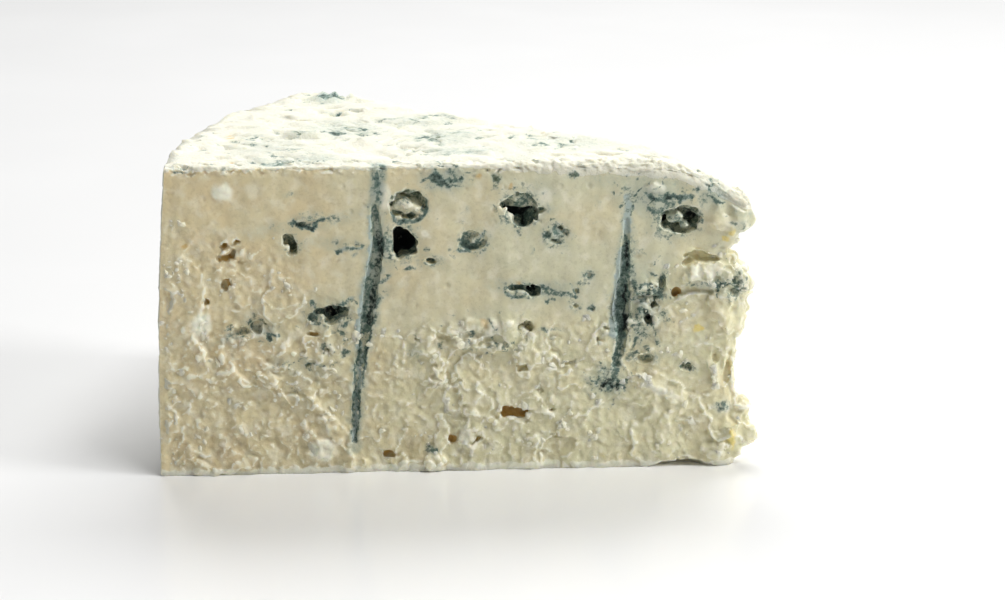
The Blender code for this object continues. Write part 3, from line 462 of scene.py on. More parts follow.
# Stains of the long cut that run along lines: the points x, z and half width, then lining and strength
FRONT_LINES = (
    (((-76.0, 73.5, 1.6), (-76.1, 69.0, 1.5), (-77.2, 64.6, 1.2)), "grey", 1.1),
    (((-76.6, 72.0, 0.4), (-75.8, 69.5, 0.5), (-76.6, 66.4, 0.4)), "teal", 1.1),
    (((-77.0, 64.5, 1.4), (-76.3, 55.7, 2.2), (-78.3, 43.5, 2.4), (-79.5, 35.0, 2.2)), "veil", 1.1),
    (((-79.5, 35.0, 2.2), (-80.7, 29.0, 1.7), (-82.4, 6.0, 1.2)), "veil", 1.1),
    (((-77.0, 64.5, 0.7), (-76.2, 55.7, 1.2), (-78.1, 43.5, 1.35), (-79.3, 35.0, 1.3)), "teal", 0.95),
    (((-79.3, 35.0, 1.2), (-80.7, 29.0, 0.9), (-81.6, 22.0, 0.8), (-82.4, 8.0, 0.7)), "teal", 0.7),
    (((-78.2, 34.0, 0.3), (-79.8, 27.0, 0.3), (-81.0, 18.0, 0.25), (-81.8, 8.0, 0.25)), "teal", 1.2),
    (((-80.8, 33.0, 0.25), (-81.8, 26.0, 0.25), (-82.6, 18.0, 0.2), (-83.0, 8.0, 0.25)), "teal", 1.1),
    (((-76.6, 61.5, 0.2), (-75.9, 54.0, 0.5), (-77.6, 43.0, 0.55), (-78.6, 36.0, 0.4)), "black", 0.6),
    (
        (
            (-78.2, 62.0, 0.3),
            (-77.9, 55.7, 0.35),
            (-79.9, 44.0, 0.4),
            (-81.0, 36.0, 0.45),
            (-81.3, 30.0, 0.4),
        ),
        "powder",
        1.3,
    ),
    (((-80.6, 29.0, 0.3), (-81.6, 20.0, 0.3), (-82.4, 8.0, 0.25)), "powder", 1.3),
    (
        (
            (-18.6, 68.0, 0.9),
            (-18.6, 60.0, 1.3),
            (-18.9, 53.0, 2.0),
            (-19.6, 42.0, 2.7),
            (-19.8, 31.5, 2.6),
        ),
        "grey",
        0.75,
    ),
    (((-18.8, 66.0, 0.6), (-18.8, 58.0, 0.8)), "powder", 1.2),
    (((-18.9, 56.5, 0.5), (-18.9, 49.0, 1.0), (-19.6, 40.0, 1.2), (-20.0, 31.0, 1.2)), "teal", 1.1),
    (((-18.8, 54.5, 0.25), (-18.6, 49.0, 0.35)), "black", 0.7),
    (((-18.9, 44.0, 0.3), (-18.6, 34.0, 0.45)), "black", 0.7),
    (((-19.9, 53.0, 0.5), (-21.0, 43.0, 0.8), (-21.4, 33.0, 0.9)), "powder", 1.4),
    (((-19.8, 31.5, 1.0), (-21.5, 23.0, 1.0)), "teal", 0.95),
    (((-17.6, 49.0, 0.5), (-15.6, 40.0, 0.9), (-16.6, 31.0, 0.6)), "teal", 0.85),
    (((-24.6, 19.6, 0.5), (-22.6, 22.4, 0.4), (-20.8, 19.8, 0.5)), "black", 0.6),
    (((-73.2, 47.8, 0.35), (-76.4, 46.0, 0.4)), "teal", 1.0),
    (((-85.0, 41.2, 0.35), (-82.2, 42.6, 0.3)), "teal", 1.0),
    (((-90.8, 40.6, 0.3), (-92.4, 42.0, 0.3)), "teal", 0.9),
    (((-95.8, 61.4, 0.35), (-94.0, 59.6, 0.4), (-91.4, 59.4, 0.4), (-88.6, 61.4, 0.35)), "teal", 1.3),
    (((-79.6, 54.9, 0.3), (-84.0, 54.6, 0.3), (-86.0, 54.0, 0.3)), "teal", 1.1),
    (
        (
            (-73.2, 62.6, 0.3),
            (-71.8, 61.0, 0.4),
            (-68.4, 60.8, 0.4),
            (-65.6, 62.4, 0.35),
            (-65.0, 66.0, 0.3),
        ),
        "teal",
        1.2,
    ),
    (((-72.8, 66.4, 0.4), (-69.6, 68.2, 0.6), (-66.8, 67.2, 0.5)), "green", 1.2),
    (((-46.8, 43.2, 0.3), (-43.0, 42.4, 0.3)), "teal", 1.1),
    (((-38.4, 44.6, 0.35), (-34.6, 43.4, 0.35), (-31.6, 42.8, 0.3)), "teal", 1.0),
    (((-31.4, 45.4, 0.3), (-30.6, 42.2, 0.3)), "teal", 0.9),
    (((-57.8, 54.0, 0.35), (-55.6, 53.2, 0.35), (-52.8, 55.6, 0.35), (-51.8, 58.2, 0.3)), "teal", 1.2),
    (((-63.6, 71.4, 0.5), (-60.4, 70.2, 0.35), (-56.6, 70.4, 0.35)), "teal", 1.1),
    (((-15.0, 66.6, 0.4), (-11.4, 64.8, 0.6), (-7.6, 66.2, 0.5), (-4.0, 65.2, 0.5)), "teal", 1.1),
    (((-14.0, 62.6, 0.4), (-10.6, 62.6, 0.5), (-8.4, 63.8, 0.4)), "teal", 0.9),
    (((-93.4, 26.4, 0.3), (-90.8, 27.0, 0.3), (-89.2, 26.2, 0.3)), "teal", 0.9),
    (((-106.0, 35.4, 0.4), (-102.8, 34.8, 0.4), (-99.6, 33.8, 0.35)), "teal", 0.9),
)

# Patches of the long cut: name, x, z, half width, half height, where it fades out and is full, and strength
CRUMBLY_PATCHES = (
    ("broken_middle", -50.0, 18.0, 36.0, 24.0, 1.1, 0.6, 1.0),
    ("crumbly_pits", -109.5, 52.0, 5.5, 8.0, 1.0, 0.6, 1.0),
    ("beside_tip_channel", -13.0, 36.0, 8.0, 12.0, 1.1, 0.5, 1.0),
)
SMOOTH_PATCHES = (
    ("cream_lump", 3.8, 38.0, 6.4, 5.4, 1.2, 0.7, 1.0),
    ("beside_cream_lump", -7.0, 34.0, 6.0, 6.5, 1.2, 0.7, 0.8),
    ("beside_rim_channel", -69.0, 15.0, 7.0, 8.0, 1.2, 0.7, 0.7),
)
FLAKY_PATCHES = (("shingles", -50.0, 32.0, 12.0, 6.0, 1.2, 0.7, 0.85),)
GRAINY_PATCHES = (("between_pits", -109.5, 51.5, 5.5, 7.5, 1.0, 0.6, 1.0),)
DIPPED_PATCHES = (("low_dip", -100.5, 17.5, 7.5, 5.6, 1.4, 0.4, 1.0),)

# Marks of the top rind: name, x, y, half length, half width, turn, lining and strength
RIND_MARKS = (
    ("mould_lump", -87.5, 73.9, 4.6, 5.2, 0, "teal", 1.3),
    ("mould_lump_halo", -87.5, 72.0, 5.6, 7.4, 0, "grey", 1.1),
    ("green_lump", -93.5, 33.7, 3.2, 3.4, 0, "green", 1.2),
    ("green_lump_halo", -93.5, 33.7, 4.2, 5.0, 0, "grey", 0.81),
    ("green_patch", -61.5, 29.8, 2.4, 4.2, 0, "green", 1.3),
    ("grey_streak", -55.8, 32.8, 3.8, 2.0, 0, "grey", 1.2),
    ("far_green", -65.6, 46.0, 1.9, 3.6, 0, "green", 0.94),
    ("far_grey", -57.9, 53.0, 3.0, 3.0, 0, "grey", 0.81),
    ("net", -82.9, 39.0, 6.4, 7.0, 0, "grey", 0.81),
    ("net_dark", -80.4, 42.0, 2.4, 1.6, 20, "green", 1.1),
    ("net_dark_b", -85.4, 35.5, 2.0, 1.4, -15, "green", 0.94),
    ("slit_mark", -63.3, 15.2, 2.3, 1.3, 6, "green", 1.2),
    ("slit_mark_b", -59.5, 11.9, 1.4, 1.1, 0, "green", 1.1),
    ("slit_mark_c", -54.2, 13.8, 2.9, 1.9, 0, "grey", 1.2),
    ("slit_mark_d", -51.8, 18.8, 1.5, 1.2, 0, "green", 0.94),
    ("middle_dot", -69.5, 17.0, 1.3, 1.7, 0, "green", 1.1),
    ("tan_patch", -69.2, 28.6, 2.0, 2.4, 0, "tan", 1.2),
    ("tan_patch_b", -67.9, 32.2, 3.6, 2.0, 0, "tan", 0.81),
    ("tan_crack_a", -108.3, 23.6, 1.8, 4.4, 0, "tan", 1.3),
    ("tan_crack_b", -100.4, 26.2, 4.0, 2.2, 0, "tan", 1.2),
    ("orange_spot", -111.2, 33.4, 1.3, 2.6, 0, "ochre", 1.2),
    ("grey_cracks", -100.2, 3.7, 4.0, 2.4, 0, "grey", 1.1),
    ("beige_spot", -85.8, 55.8, 2.6, 2.6, 0, "tan", 1.2),
    ("beige_long", -94.1, 50.5, 2.7, 3.0, 0, "tan", 1.1),
    ("tip_flakes_a", -38.6, 34.6, 2.2, 2.4, 0, "grey", 0.94),
    ("tip_flakes_b", -43.3, 29.2, 1.8, 2.2, 0, "grey", 1.1),
    ("tip_flakes_c", -41.4, 12.4, 1.7, 1.6, 0, "green", 0.94),
    ("tip_flakes_d", -29.7, 26.0, 5.0, 1.8, 0, "grey", 0.54),
    ("beige_a", -34.8, 8.6, 2.6, 2.2, 0, "tan", 1.1),
    ("beige_b", -23.6, 9.4, 4.6, 2.8, 0, "tan", 1.1),
    ("beige_c", -14.7, 7.0, 3.8, 2.4, 0, "tan", 1.1),
    ("tip_green_tint", -7.2, 2.2, 4.0, 3.6, 0, "olive", 0.35),
    ("near_specks", -94.6, 12.5, 6.4, 4.6, 0, "grey", 0.47),
    ("rim_net", -101.0, 22.0, 12.0, 14.0, 0, "net", 0.8),
    ("back_net", -84.0, 40.0, 13.0, 13.0, 0, "net", 1.0),
    ("middle_net", -60.0, 30.0, 12.0, 12.0, 0, "net", 1.0),
    ("slit_net", -56.0, 15.0, 12.0, 5.0, 0, "net", 1.1),
    ("tip_rind_net", -32.0, 22.0, 16.0, 10.0, 0, "net", 0.9),
    ("edge_net", -96.0, 6.0, 14.0, 5.0, 0, "net", 0.9),
    ("far_net", -66.0, 48.0, 14.0, 8.0, 0, "net", 0.9),
)

# Stains of the far cut: name, place along the cut, z and the rest as for the long cut
FAR_MARKS = (
    ("far_patch_a", 45.0, 66.0, 7.0, 2.4, 0, "grey", 0.8),
    ("far_patch_b", 72.0, 51.0, 5.0, 3.0, -20, "teal", 0.6),
    ("far_patch_c", 28.0, 44.0, 5.0, 4.0, 10, "veil", 0.8),
    ("far_patch_d", 55.0, 42.0, 3.0, 1.4, 0, "teal", 0.8),
    ("far_patch_e", 100.0, 56.0, 4.0, 2.0, 12, "grey", 0.8),
    ("far_patch_f", 64.0, 24.0, 3.0, 1.6, -10, "teal", 0.7),
    ("far_patch_g", 18.0, 56.0, 4.0, 2.6, 0, "teal", 0.7),
    ("far_patch_h", 108.0, 38.0, 2.0, 1.2, 0, "green", 0.7),
)
FAR_LINES = (
    (((86.0, 72.0, 1.2), (84.0, 40.0, 1.6), (81.0, 4.0, 0.9)), "teal", 0.95),
    (((85.5, 60.0, 0.7), (84.0, 40.0, 1.0), (83.0, 30.0, 0.6)), "black", 0.8),
    (((27.5, 66.0, 1.0), (25.5, 18.0, 1.3)), "teal", 0.9),
    (((26.5, 50.0, 0.6), (25.6, 24.0, 0.8)), "black", 0.7),
)


# Settings


class CheeseShape(PropertyGroup):
    """Sizes of the wedge's surface."""

    surface_step: FloatProperty(
        name="Surface step",
        description="Distance between the points that the surface is sculpted with",
        default=0.40 * MM,
        min=0.2 * MM,
        unit="LENGTH",
        precision=5,
    )
    triangles: IntProperty(
        name="Triangles", description="Triangles that the wedge keeps", default=196000, min=1000
    )
    curd_size: FloatProperty(
        name="Curd size",
        description="Size of the curd grains that a torn face breaks along",
        default=8.5 * MM,
        unit="LENGTH",
        precision=5,
    )
    torn_relief: FloatProperty(
        name="Torn relief",
        description="How far a torn face stands out and in",
        default=0.9 * MM,
        unit="LENGTH",
        precision=5,
    )
    rind_relief: FloatProperty(
        name="Rind relief",
        description="How far the wrinkles of the rind stand out and in",
        default=0.45 * MM,
        unit="LENGTH",
        precision=5,
    )
    crumbs: IntProperty(
        name="Crumbs", description="Number of crumbs that cling to the torn faces", default=420, min=0
    )
    crumb_size: FloatProperty(
        name="Crumb size",
        description="Radius of the largest crumbs",
        default=0.85 * MM,
        unit="LENGTH",
        precision=5,
    )


def colour_setting(name, description, default):
    """Returns a colour that the panel shows."""
    return FloatVectorProperty(
        name=name, description=description, default=default, size=3, subtype="COLOR", min=0.0, max=1.0
    )


class CheeseColours(PropertyGroup):
    """Colours of the paste, the rind and the mould."""

    paste: colour_setting("Paste", "Colour of the paste", (0.72, 0.70, 0.50))
    paste_torn: colour_setting("Torn paste", "Fatter paste where it tore", (0.80, 0.765, 0.51))
    paste_warm: colour_setting("Warm paste", "Paste where it is drier", (0.77, 0.66, 0.41))
    # Pale paste: a paler tone of the paste, also painted on its crests as a highlight
    paste_pale_and_highlight: colour_setting("Pale paste", "Paste on its crests", (0.97, 0.935, 0.765))
    rind: colour_setting("Rind", "Colour of the powdery rind", (0.76, 0.745, 0.62))
    # Rind cracks: tan laid in the rind's creases, partly as painted shade
    rind_tan_and_shade: colour_setting("Rind cracks", "Colour in the cracks of the rind", (0.46, 0.41, 0.30))
    # Ochre: the amber of warm pits, also painted into the torn paste's hollows as warm shade
    ochre: colour_setting("Ochre", "Colour of deep warm hollows", (0.72, 0.49, 0.16))
    # Deep ochre: the ochre darkened as painted shade, laid at the bottom of warm pits
    ochre_shaded: colour_setting("Deep ochre", "Colour at the bottom of warm pits", (0.56, 0.34, 0.09))
    yellow: colour_setting("Yellow", "Colour of the bright fat spots", (0.90, 0.74, 0.18))
    veil: colour_setting("Mould veil", "Colour of the thin powdery mould", (0.32, 0.40, 0.34))
    powder: colour_setting("Mould powder", "Colour of the pale powdery mould", (0.46, 0.54, 0.50))
    mould: colour_setting("Mould", "Colour of the thick mould", (0.075, 0.145, 0.122))
    olive: colour_setting("Olive mould", "Colour of the older mould", (0.13, 0.135, 0.035))
    # Deep mould: near-black, painted deep in the eyes as shade over dark mould and used for the darkest mould
    black: colour_setting("Deep mould", "Colour of mould deep in an eye", (0.004, 0.007, 0.007))


class CheeseStage(PropertyGroup):
    """Sizes, colours and lights of the stage."""

    floor: colour_setting("Floor", "Colour of the pale floor", (0.93, 0.93, 0.925))
    floor_size: FloatProperty(
        name="Floor size", description="Length of each side of the floor", default=8.0, unit="LENGTH"
    )
    surround: FloatProperty(
        name="Surround", description="Strength of the white light all round", default=0.07, min=0.0
    )
    top_light: FloatProperty(
        name="Top light", description="Power of the soft light overhead in watts", default=5.4, min=0.0
    )
    back_light: FloatProperty(
        name="Back light", description="Power of the soft light from behind in watts", default=13.5, min=0.0
    )
    front_light: FloatProperty(
        name="Front light", description="Power of the low fill light in front in watts", default=0.4, min=0.0
    )
    side_light: FloatProperty(
        name="Side light", description="Power of the light from the tip's side in watts", default=4.5, min=0.0
    )
    distance: FloatProperty(
        name="Camera distance", description="From the wedge to the camera", default=0.65, unit="LENGTH"
    )
    elevation: FloatProperty(
        name="Camera elevation",
        description="Angle above the table",
        default=math.radians(16.0),
        subtype="ANGLE",
    )
    azimuth: FloatProperty(
        name="Camera azimuth",
        description="Angle round the wedge",
        default=math.radians(-3.42),
        subtype="ANGLE",
    )
    lens: FloatProperty(
        name="Lens", description="Focal length on a 36 mm sensor", default=100.23, unit="CAMERA"
    )


# Noise and grain


def ease(low, high, value):
    """Returns 0 below low, 1 above high and a smooth rise between them."""
    t = np.clip((value - low) / (high - low), 0.0, 1.0)
    return t * t * (3.0 - 2.0 * t)


def cell_numbers(cells, seed):
    """Returns an evenly spread whole number for each cell of a grid."""
    keep = 0xFFFFFFFF
    mixed = (cells[:, 0] * 73856093) ^ (cells[:, 1] * 19349663) ^ (cells[:, 2] * 83492791)
    mixed = (mixed ^ (seed * 40503)) & keep
    mixed = ((mixed ^ (mixed >> 15)) * 0x2C1B3C6D) & keep
    mixed = ((mixed ^ (mixed >> 12)) * 0x297A2D39) & keep
    return mixed ^ (mixed >> 15)


def three_shares(numbers):
    """Splits each whole number into three values from 0 to 1."""
    return np.stack((numbers & 1023, (numbers >> 10) & 1023, (numbers >> 20) & 1023), axis=1) / 1023.0


def soft_noise(points, size, seed=0):
    """Returns smooth noise, from about -1 to 1, with lumps of about the given size."""
    place = points / size
    cell = np.floor(place).astype(np.int64)
    part = place - cell
    blend = part**3 * (part * (part * 6.0 - 15.0) + 10.0)
    total = np.zeros(len(points))
    for corner in np.ndindex(2, 2, 2):
        step = np.array(corner)
        slope = three_shares(cell_numbers(cell + step, seed)) * 2.0 - 1.0
        weight = np.prod(np.where(step == 1, blend, 1.0 - blend), axis=1)
        total += weight * ((part - step) * slope).sum(axis=1)
    return total * 1.6


def noise_vectors(points, size, seed):
    """Returns a smooth random vector for each point."""
    return np.stack([soft_noise(points, size, seed + axis) for axis in range(3)], axis=1)


def pebbles(points, size, seed):
    """Returns rounded grains: about 0.3 in their joints and 1 on their crowns."""
    sharpness = 9.0
    place = points / size
    cell = np.floor(place).astype(np.int64)
    total = np.zeros(len(points))
    for step in np.ndindex(3, 3, 3):
        there = cell + (np.array(step) - 1)
        gap = place - (there + three_shares(cell_numbers(there, seed)))
        total += np.exp(-sharpness * np.sqrt((gap**2).sum(axis=1)))
    return 1.0 + np.log(total) / sharpness


def sheets(points, size, cover, seed, lip=0.35):
    """Returns 1 on torn sheets with crisp edges and a raised lip, and 0 on the floor between them."""
    value = soft_noise(points, size, seed)
    edge = 0.38 / size
    rim = np.exp(-(((value - cover - 1.6 * edge) / (1.5 * edge)) ** 2))
    return ease(cover, cover + edge, value) + lip * rim


def stretched(points, direction, keep):
    """Squeezes points along a direction, so that noise read there is drawn out that way."""
    axis = np.array(direction) / np.linalg.norm(direction)
    return points - (1.0 - keep) * (points @ axis)[:, None] * axis


# The smooth form


def new_collection(name):
    """Returns a new collection that is linked to the scene."""
    collection = bpy.data.collections.new(name)
    bpy.context.scene.collection.children.link(collection)
    return collection


def remove_collection(collection):
    """Removes a collection and the objects in it."""
    for obj in list(collection.objects):
        bpy.data.objects.remove(obj, do_unlink=True)
    bpy.data.collections.remove(collection)


def new_object(name, builder, collection):
    """Makes an object from a bmesh, which is freed."""
    mesh = bpy.data.meshes.new(name)
    bmesh.ops.recalc_face_normals(builder, faces=builder.faces)
    builder.to_mesh(mesh)
    builder.free()
    obj = bpy.data.objects.new(name, mesh)
    collection.objects.link(obj)
    return obj


def apply_modifiers(obj):
    """Replaces the object's mesh by its evaluated mesh and drops its modifiers."""
    bpy.context.view_layer.update()
    evaluated = obj.evaluated_get(bpy.context.evaluated_depsgraph_get())
    mesh = bpy.data.meshes.new_from_object(evaluated)
    obj.modifiers.clear()
    old_mesh = obj.data
    obj.data = mesh
    bpy.data.meshes.remove(old_mesh)
    mesh.name = obj.name


def back_cut():
    """Returns the tip end of the far cut, its direction towards the rim and its length."""
    tip = Vector((TIP_X, TIP_WIDTH, 0.0))
    corner = Vector((-math.cos(RIM_SWEEP), math.sin(RIM_SWEEP), 0.0)) * WHEEL_RADIUS
    along = corner - tip
    return tip, along.normalized(), along.length


def wedge_outline():
    """Returns the outline seen from above: the cut, the blunt tip, the far cut and the arc of rind."""
    tip_steps, cut_steps, arc_steps = 10, 30, 56
    points = []
    for step in range(cut_steps):
        points.append(Vector((-WHEEL_RADIUS + step / cut_steps * (WHEEL_RADIUS + TIP_X), 0.0, 0.0)))
    for step in range(tip_steps):
        angle = math.pi * (step / tip_steps - 0.5)
        reach = TIP_WIDTH / 2
        points.append(Vector((TIP_X + reach * math.cos(angle), reach + reach * math.sin(angle), 0.0)))
    tip, along, length = back_cut()
    outward = Vector((along.y, -along.x, 0.0))
    for step in range(cut_steps):
        share = step / cut_steps
        points.append(tip + along * (length * share) + outward * (BACK_CUT_BOW * math.sin(math.pi * share)))
    for step in range(arc_steps):
        angle = RIM_SWEEP * (1.0 - step / arc_steps)
        points.append(Vector((-math.cos(angle), math.sin(angle), 0.0)) * WHEEL_RADIUS)
    return points


def on_arc(edge):
    """Tells whether both ends of an edge are on the arc of rind."""
    return all(math.hypot(vert.co.x, vert.co.y) > WHEEL_RADIUS - 0.5 for vert in edge.verts)


def round_edges(builder, edges, radius, segments):
    """Bevels some edges with a round profile."""
    bmesh.ops.bevel(
        builder,
        geom=edges,
        offset=radius,
        offset_type="OFFSET",
        segments=segments,
        profile=0.5,
        affect="EDGES",
        material=-1,
        clamp_overlap=True,
    )


def make_block(collection):
    """Extrudes the outline to the height of the wedge and rounds its upper rim."""
    builder = bmesh.new()
    floor = builder.faces.new([builder.verts.new(point) for point in wedge_outline()])
    raised = bmesh.ops.extrude_face_region(builder, geom=[floor])
    top_verts = [item for item in raised["geom"] if isinstance(item, bmesh.types.BMVert)]
    bmesh.ops.translate(builder, verts=top_verts, vec=(0.0, 0.0, HEIGHT))
    top_edges = [edge for edge in builder.edges if all(vert.co.z > HEIGHT / 2 for vert in edge.verts)]
    rim_edges = [edge for edge in top_edges if on_arc(edge)]
    cut_edges = [edge for edge in top_edges if not on_arc(edge)]
    round_edges(builder, cut_edges, 0.5, 2)
    round_edges(builder, [edge for edge in rim_edges if edge.is_valid], RIM_EDGE_ROUND, 6)
    bmesh.ops.triangulate(builder, faces=[face for face in builder.faces if len(face.verts) > 4])
    return new_object("blue_cheese_wedge", builder, collection)


def blob(name, centre, radii, turn, collection, roughness=0.22, subdivisions=3):
    """Makes a knobbly ball with the given radii along the axes of its turn."""
    builder = bmesh.new()
    bmesh.ops.create_icosphere(builder, subdivisions=subdivisions, radius=1.0)
    fine = roughness * 0.5
    for vert in builder.verts:
        knob = 1.0 + roughness * noise.noise(vert.co * 1.4 + centre / 7.0)
        knob += fine * noise.noise(vert.co * 3.4 + centre / 3.0)
        knob += 0.5 * fine * noise.noise(vert.co * 7.5 + centre / 2.0)
        vert.co = Vector((vert.co.x * radii[0], vert.co.y * radii[1], vert.co.z * radii[2])) * knob
    bmesh.ops.transform(builder, matrix=Matrix.Translation(centre) @ turn.to_4x4(), verts=builder.verts)
    raise_builder(builder)
    return new_object(name, builder, collection)


def tube(name, stations, collection):
    """Makes a run of tapering tubes with round joints through stations of a place and a radius."""
    for index, ((start, start_radius), (end, end_radius)) in enumerate(zip(stations, stations[1:])):
        builder = bmesh.new()
        bmesh.ops.create_cone(
            builder,
            cap_ends=True,
            segments=14,
            radius1=start_radius,
            radius2=end_radius,
            depth=(end - start).length,
        )
        turn = (end - start).to_track_quat("Z", "Y").to_matrix().to_4x4()
        bmesh.ops.transform(
            builder, matrix=Matrix.Translation((start + end) / 2) @ turn, verts=builder.verts
        )
        raise_builder(builder)
        new_object(f"{name}_{index}", builder, collection)
    for index, (place, radius) in enumerate(stations):
        blob(f"{name}_joint_{index}", place, (radius * 1.08,) * 3, Matrix.Identity(3), collection, 0.3, 2)


def front_frame():
    """Returns the tip-ward axis, the inward axis and the origin of the long cut."""
    return Vector((1.0, 0.0, 0.0)), Vector((0.0, 1.0, 0.0)), Vector((0.0, 0.0, 0.0))


def far_frame():
    """Returns the rim-ward axis, the inward axis and the origin of the far cut."""
    tip, along, _ = back_cut()
    return along, Vector((-along.y, along.x, 0.0)), tip


def cut_eyes(rows, face_frame, collection):
    """Makes the cutters of the eyes of one cut face, with smaller bites round the rim of the larger ones."""
    along, inward, origin = face_frame
    up = Vector((0.0, 0.0, 1.0))
    sunk_share, depth_share = 0.12, 0.88
    smallest_bitten, smallest_bite, bites = 1.8, 0.35, 6
    draw = np.random.default_rng(5)
    for name, place, z, half_width, half_height, depth, lean, lining in rows:
        centre = origin + along * place + up * z + inward * (sunk_share * depth)
        basis = Matrix((along, inward, up)).transposed()
        turn = basis @ Matrix.Rotation(math.radians(lean), 3, "Y")
        radii = (half_width, depth * depth_share, half_height)
        blob(name, centre, radii, turn, collection, 0.36)
        if max(half_width, half_height) < smallest_bitten or lining == "plain":
            continue
        for bite in range(bites):
            angle = math.tau * (bite + draw.uniform(-0.35, 0.35)) / bites
            reach = draw.uniform(0.7, 0.92)
            across, upward = half_width * math.cos(angle), half_height * math.sin(angle)
            size = max(draw.uniform(0.16, 0.34) * min(half_width, half_height), smallest_bite)
            spot = centre + turn @ Vector((across * reach, 0.0, upward * reach))
            wide = size * draw.uniform(0.9, 1.7)
            shape = (wide, min(depth * 0.5, size * 3.0), size * draw.uniform(0.7, 1.2))
            spin = turn @ Matrix.Rotation(draw.uniform(0.0, math.tau), 3, "Y")
            blob(f"{name}_bite_{bite}", spot, shape, spin, collection, 0.5, 2)


def cut_channels(rows, face_frame, collection):
    """Makes the cutters of the needle channels of one cut face."""
    along, inward, origin = face_frame
    for name, stations in rows:
        places = []
        for place, z, radius, depth in stations:
            places.append((origin + along * place + Vector((0.0, 0.0, z)) + inward * depth, radius))
        tube(name, places, collection)


def cut_rind_slits(collection):
    """Makes the cutters of the slits in the rind."""
    for name, x, y, half_length, half_width, depth, turn, _ in RIND_SLITS:
        top = HEIGHT - float(sinking(np.array([[x, y, HEIGHT]]))[0])
        spin = Matrix.Rotation(math.radians(turn), 3, "Z")
        blob(name, Vector((x, y, top)), (half_length, half_width, depth), spin, collection, 0.4)


def add_lumps(rows, collection):
    """Makes lumps of paste and crust."""
    for name, x, y, z, radius_x, radius_y, radius_z, lean in rows:
        turn = Matrix.Rotation(math.radians(lean), 3, "Y")
        blob(name, Vector((x, y, z)), (radius_x, radius_y, radius_z), turn, collection, 0.45)


def boolean_all(obj, operation, collection):
    """Joins a collection of closed meshes to the object, or cuts them from it, and applies that."""
    step = obj.modifiers.new(operation.lower(), "BOOLEAN")
    step.operation = operation
    step.operand_type = "COLLECTION"
    step.collection = collection
    step.solver = "EXACT"
    apply_modifiers(obj)


def evenly_remesh(obj, size):
    """Rebuilds the surface from small even faces, so that relief can be pressed into it."""
    step = obj.modifiers.new("remesh", "REMESH")
    step.mode = "VOXEL"
    step.voxel_size = size
    step.adaptivity = 0.0
    apply_modifiers(obj)


# Droop and relief


def sinking(points):
    """Returns how far each point of the unsunk wedge goes down with the drooping top."""
    share = ease(TIP_X - TIP_DROOP_LENGTH, TIP_X + 8.0, points[:, 0])
    flat = points * np.array((1.0, 1.0, 0.0))
    dip = 0.4 * soft_noise(flat, 24.0, 3)
    across = np.exp(-(((points[:, 0] - BACK_CORNER[0]) / 12.0) ** 2))
    across *= np.exp(-(((points[:, 1] - BACK_CORNER[1]) / 12.0) ** 2))
    fall = TIP_DROOP * share**2 + dip - CRUST_PUFF * across
    return fall * ease(0.55, 1.0, points[:, 2] / HEIGHT)


def raised(points):
    """Moves points from their place in the finished wedge to their place before the top droops."""
    rounds = 8
    lifted = points.copy()
    for _ in range(rounds):
        lifted[:, 2] = points[:, 2] + sinking(lifted)
    return lifted


def raise_builder(builder):
    """Moves a bmesh to its place before the top droops."""
    points = raised(np.array([vert.co for vert in builder.verts], dtype=float))
    for vert, point in zip(builder.verts, points):
        vert.co = point


def far_depths(points):
    """Returns the place along the far cut and the depth inside it."""
    along, inward, origin = far_frame()
    gap = points - np.array(origin)
    return gap @ np.array(along), gap @ np.array(inward)


def torn(points):
    """Returns 0 where the knife left the paste smooth and 1 where the paste tore."""
    line = 40.0 + 12.0 * soft_noise(points, 16.0, 11) + 4.0 * soft_noise(points, 5.0, 13)
    line += 16.0 * ease(-84.0, -104.0, points[:, 0])
    line += 14.0 * ease(-26.0, -6.0, points[:, 0])
    return ease(line + 5.0, line - 6.0, points[:, 2])


def rind_share(points):
    """Returns 1 in the rind of the top and of the rim, and 0 in the paste."""
    radius = np.hypot(points[:, 0], points[:, 1])
    top = ease(HEIGHT - 2.4, HEIGHT - 1.0, points[:, 2])
    rim = ease(WHEEL_RADIUS - 2.6, WHEEL_RADIUS - 1.0, radius)
    return np.maximum(top, rim)


def oval(place, z, x_middle, z_middle, half_width, half_height, lean=0.0):
    """Returns 1 on the edge of a leaning oval, less inside it and more outside."""
    turn = math.radians(lean)
    across = (place - x_middle) * math.cos(turn) - (z - z_middle) * math.sin(turn)
    upward = (place - x_middle) * math.sin(turn) + (z - z_middle) * math.cos(turn)
    return np.sqrt((across / half_width) ** 2 + (upward / half_height) ** 2)


def patch_share(x, z, rows):
    """Returns how strongly the strongest of some oval patches holds at each point."""
    share = np.zeros(len(x))
    for _, x_middle, z_middle, half_width, half_height, faded, full, strength in rows:
        edge = oval(x, z, x_middle, z_middle, half_width, half_height)
        share = np.maximum(share, strength * ease(faded, full, edge))
    return share


def line_distance(place, z, stations):
    """Returns the distance from a line in half widths of the line."""
    nearest = np.full(len(place), 99.0)
    for (x0, z0, r0), (x1, z1, r1) in zip(stations, stations[1:]):
        length = (x1 - x0) ** 2 + (z1 - z0) ** 2
        share = np.clip(((place - x0) * (x1 - x0) + (z - z0) * (z1 - z0)) / length, 0.0, 1.0)
        gap = np.hypot(place - x0 - share * (x1 - x0), z - z0 - share * (z1 - z0))
        nearest = np.minimum(nearest, gap / (r0 + share * (r1 - r0)))
    return nearest


